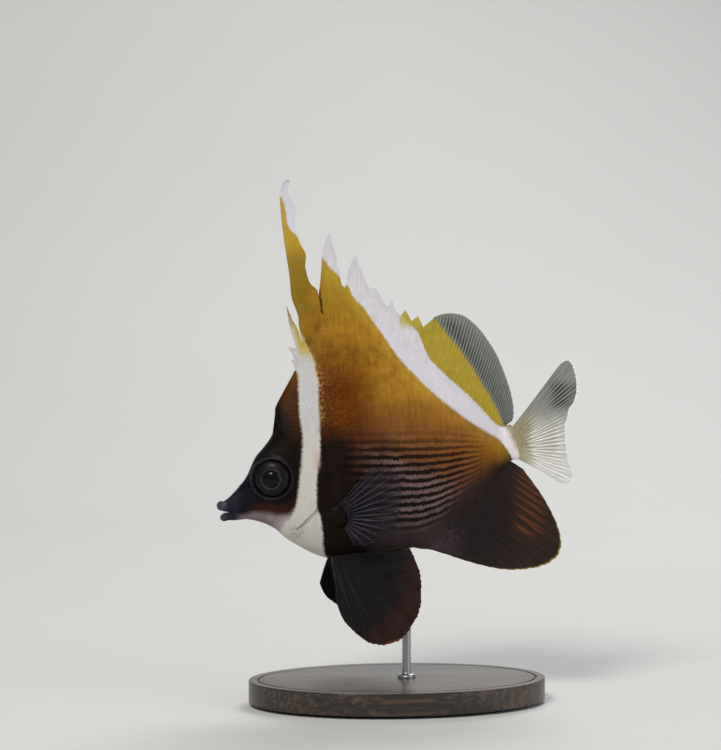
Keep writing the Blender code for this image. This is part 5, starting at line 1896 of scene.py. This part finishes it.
@dataclass
class Studio:
    """The camera at the photograph's angle, soft lights, and a plain pale floor that sweeps up behind."""

    target: tuple[float, float, float] = (-0.0105, 0.0, 0.0924)
    distance: float = 0.7
    azimuth: float = math.radians(-8)
    elevation: float = math.radians(2)
    # The key, fill and back lights: place, width, power and colour.
    lights: tuple[tuple, ...] = (("key", (-0.45, -0.75, 0.85), 0.32, 8.5, "#fffaf2"),
                                 ("fill", (0.9, -0.6, 0.45), 0.6, 3.0, "#f2f6ff"),
                                 ("back", (0.3, 0.6, 0.8), 0.5, 5.0, "#ffffff"))
    board: GrainFinish = GrainFinish("painted_board", {"Roughness": 0.85}, ((0, "#cdcdcb"), (1, "#d3d3d1")),
                                     (6, 6, 6), 3)

    def aim(self, data: bpy.types.Camera | bpy.types.Light, place: Vector) -> Piece:
        """Puts a camera or a light in the scene, looking at the fish.

        Args:
            data: The camera or the light.
            place: Where it stands, in metres.

        Returns:
            Its object.
        """
        made = bpy.data.objects.new(data.name, data)
        made.location = place
        made.rotation_euler = (place - Vector(self.target)).to_track_quat("Z", "Y").to_euler()
        bpy.context.scene.collection.objects.link(made)
        return made

    def floor(self) -> None:
        """The floor: matt painted board that sweeps up behind."""
        run = [(-1.6, 0.0), (0.5, 0.0)]
        run += [(0.5 + 0.5 * math.sin(a), 0.5 - 0.5 * math.cos(a))
                for a in np.linspace(0, math.pi / 2, 24)[1:]]
        run.append((1.0, 2.4))
        floor = lay_sheet("floor", np.array([[(x, y, z - 0.0001) for x in (-2.2, 2.2)] for y, z in run]) / MM)
        shade(floor, 180)
        floor.data.materials.clear()
        floor.data.materials.append(self.board.material())

    def build(self) -> None:
        """Sets up the camera, the lights and the floor."""
        scene = bpy.context.scene
        scene.view_settings.view_transform = "Standard"
        scene.world = bpy.data.worlds.new("studio")
        scene.world.use_nodes = True
        background = scene.world.node_tree.nodes["Background"].inputs
        background["Color"].default_value = linear("#f4f6fa")
        background["Strength"].default_value = 0.3
        camera = bpy.data.cameras.new("camera")
        camera.lens = 120
        camera.sensor_width = 36
        camera.clip_start = 0.01
        back = Vector((math.sin(self.azimuth) * math.cos(self.elevation),
                       -math.cos(self.azimuth) * math.cos(self.elevation), math.sin(self.elevation)))
        scene.camera = self.aim(camera, Vector(self.target) + back * self.distance)
        for name, place, width, power, colour in self.lights:
            lamp = bpy.data.lights.new(name, "AREA")
            lamp.size = width
            lamp.energy = power
            lamp.color = linear(colour)[:3]
            self.aim(lamp, Vector(place))
        self.floor()


def on_trunk(x: Array, z: Array) -> Array:
    """Whether a place lies behind the gill cover."""
    return (distance_from(GILL_EDGE, x, z) < -0.5) & (x < 33.6) & ((x > -26.8) | (z < 89.5))


def on_head(x: Array, z: Array) -> Array:
    """Whether a place lies on the scaly part of the head, clear of the eye and the snout.

    Args:
        x: The places' x.
        z: The places' z.

    Returns:
        Whether each place does.
    """
    away = np.hypot(x - EYE_CENTRE[0], z - EYE_CENTRE[2])
    clear = (away > 6.6) & (x > -42.3) & (x + 0.5 * z > -14.2) & (z < 91)
    return (distance_from(GILL_EDGE, x, z) > 0.3) & clear


def coats(flanks: dict[Side, Flank], wide: dict[Side, Flank]) -> None:
    """Lays the scales over both sides: large ones on the trunk and small ones on the head.

    Args:
        flanks: The maps of both sides.
        wide: The maps of both sides with the fins.
    """
    material = SkinFinish("moist_fish_scale", wet(0.42, 0.05, 0.1), plates=True).material()
    trunk, head = Coat(), Coat(around=7, rear_lift=0.03)
    for side, flank in flanks.items():
        end = side.name.lower()
        dress(trunk.build("trunk_scales_" + end, wide[side], flank, (2, 1), on_trunk), material, "body_skin")
        dress(head.build("head_scales_" + end, flank, flank, (2, 1.5), on_head), material, "head_skin")


def tree_of(pieces: Sequence[Piece]) -> BVHTree:
    """A tree of the faces of several pieces, which rays can be cast at.

    Args:
        pieces: The pieces.

    Returns:
        The tree.
    """
    places: list[Vector] = []
    faces: list[tuple[int, ...]] = []
    for piece in pieces:
        faces += [tuple(len(places) + k for k in polygon.vertices) for polygon in piece.data.polygons]
        places += [vertex.co.copy() for vertex in piece.data.vertices]
    return BVHTree.FromPolygons(places, faces)


def main() -> None:
    """Builds the model and its stage, and reports each piece."""
    logging.basicConfig(level=logging.INFO, format="%(message)s")
    Studio().build()
    flesh = Flesh()
    skin = flesh.build()
    tree = tree_of([skin])
    flanks = {side: Flank(side, tree) for side in Side}
    x, _, z = np.array([vertex.co for vertex in skin.data.vertices]).T / MM
    set_attribute(skin, "scale_row", flanks[Side.LEFT].row_at(x, z))
    set_attribute(skin, "scale_column", flanks[Side.LEFT].column_at(x))
    dress(skin, SkinFinish("moist_fish_skin", wet(0.45, 0.06, 0.1)).material(), "body_skin", *flesh.replaced)
    whole = tree_of([skin, *Fins(flanks, tree).build()])
    wide = {side: Flank(side, whole, np.arange(34.0, 125.0, 0.5), np.arange(-24.0, 30.0, 0.1))
            for side in Side}
    coats(flanks, wide)
    for side in Side:
        Eye(side).build()
    Stand().build()


if __name__ == "__main__":
    main()
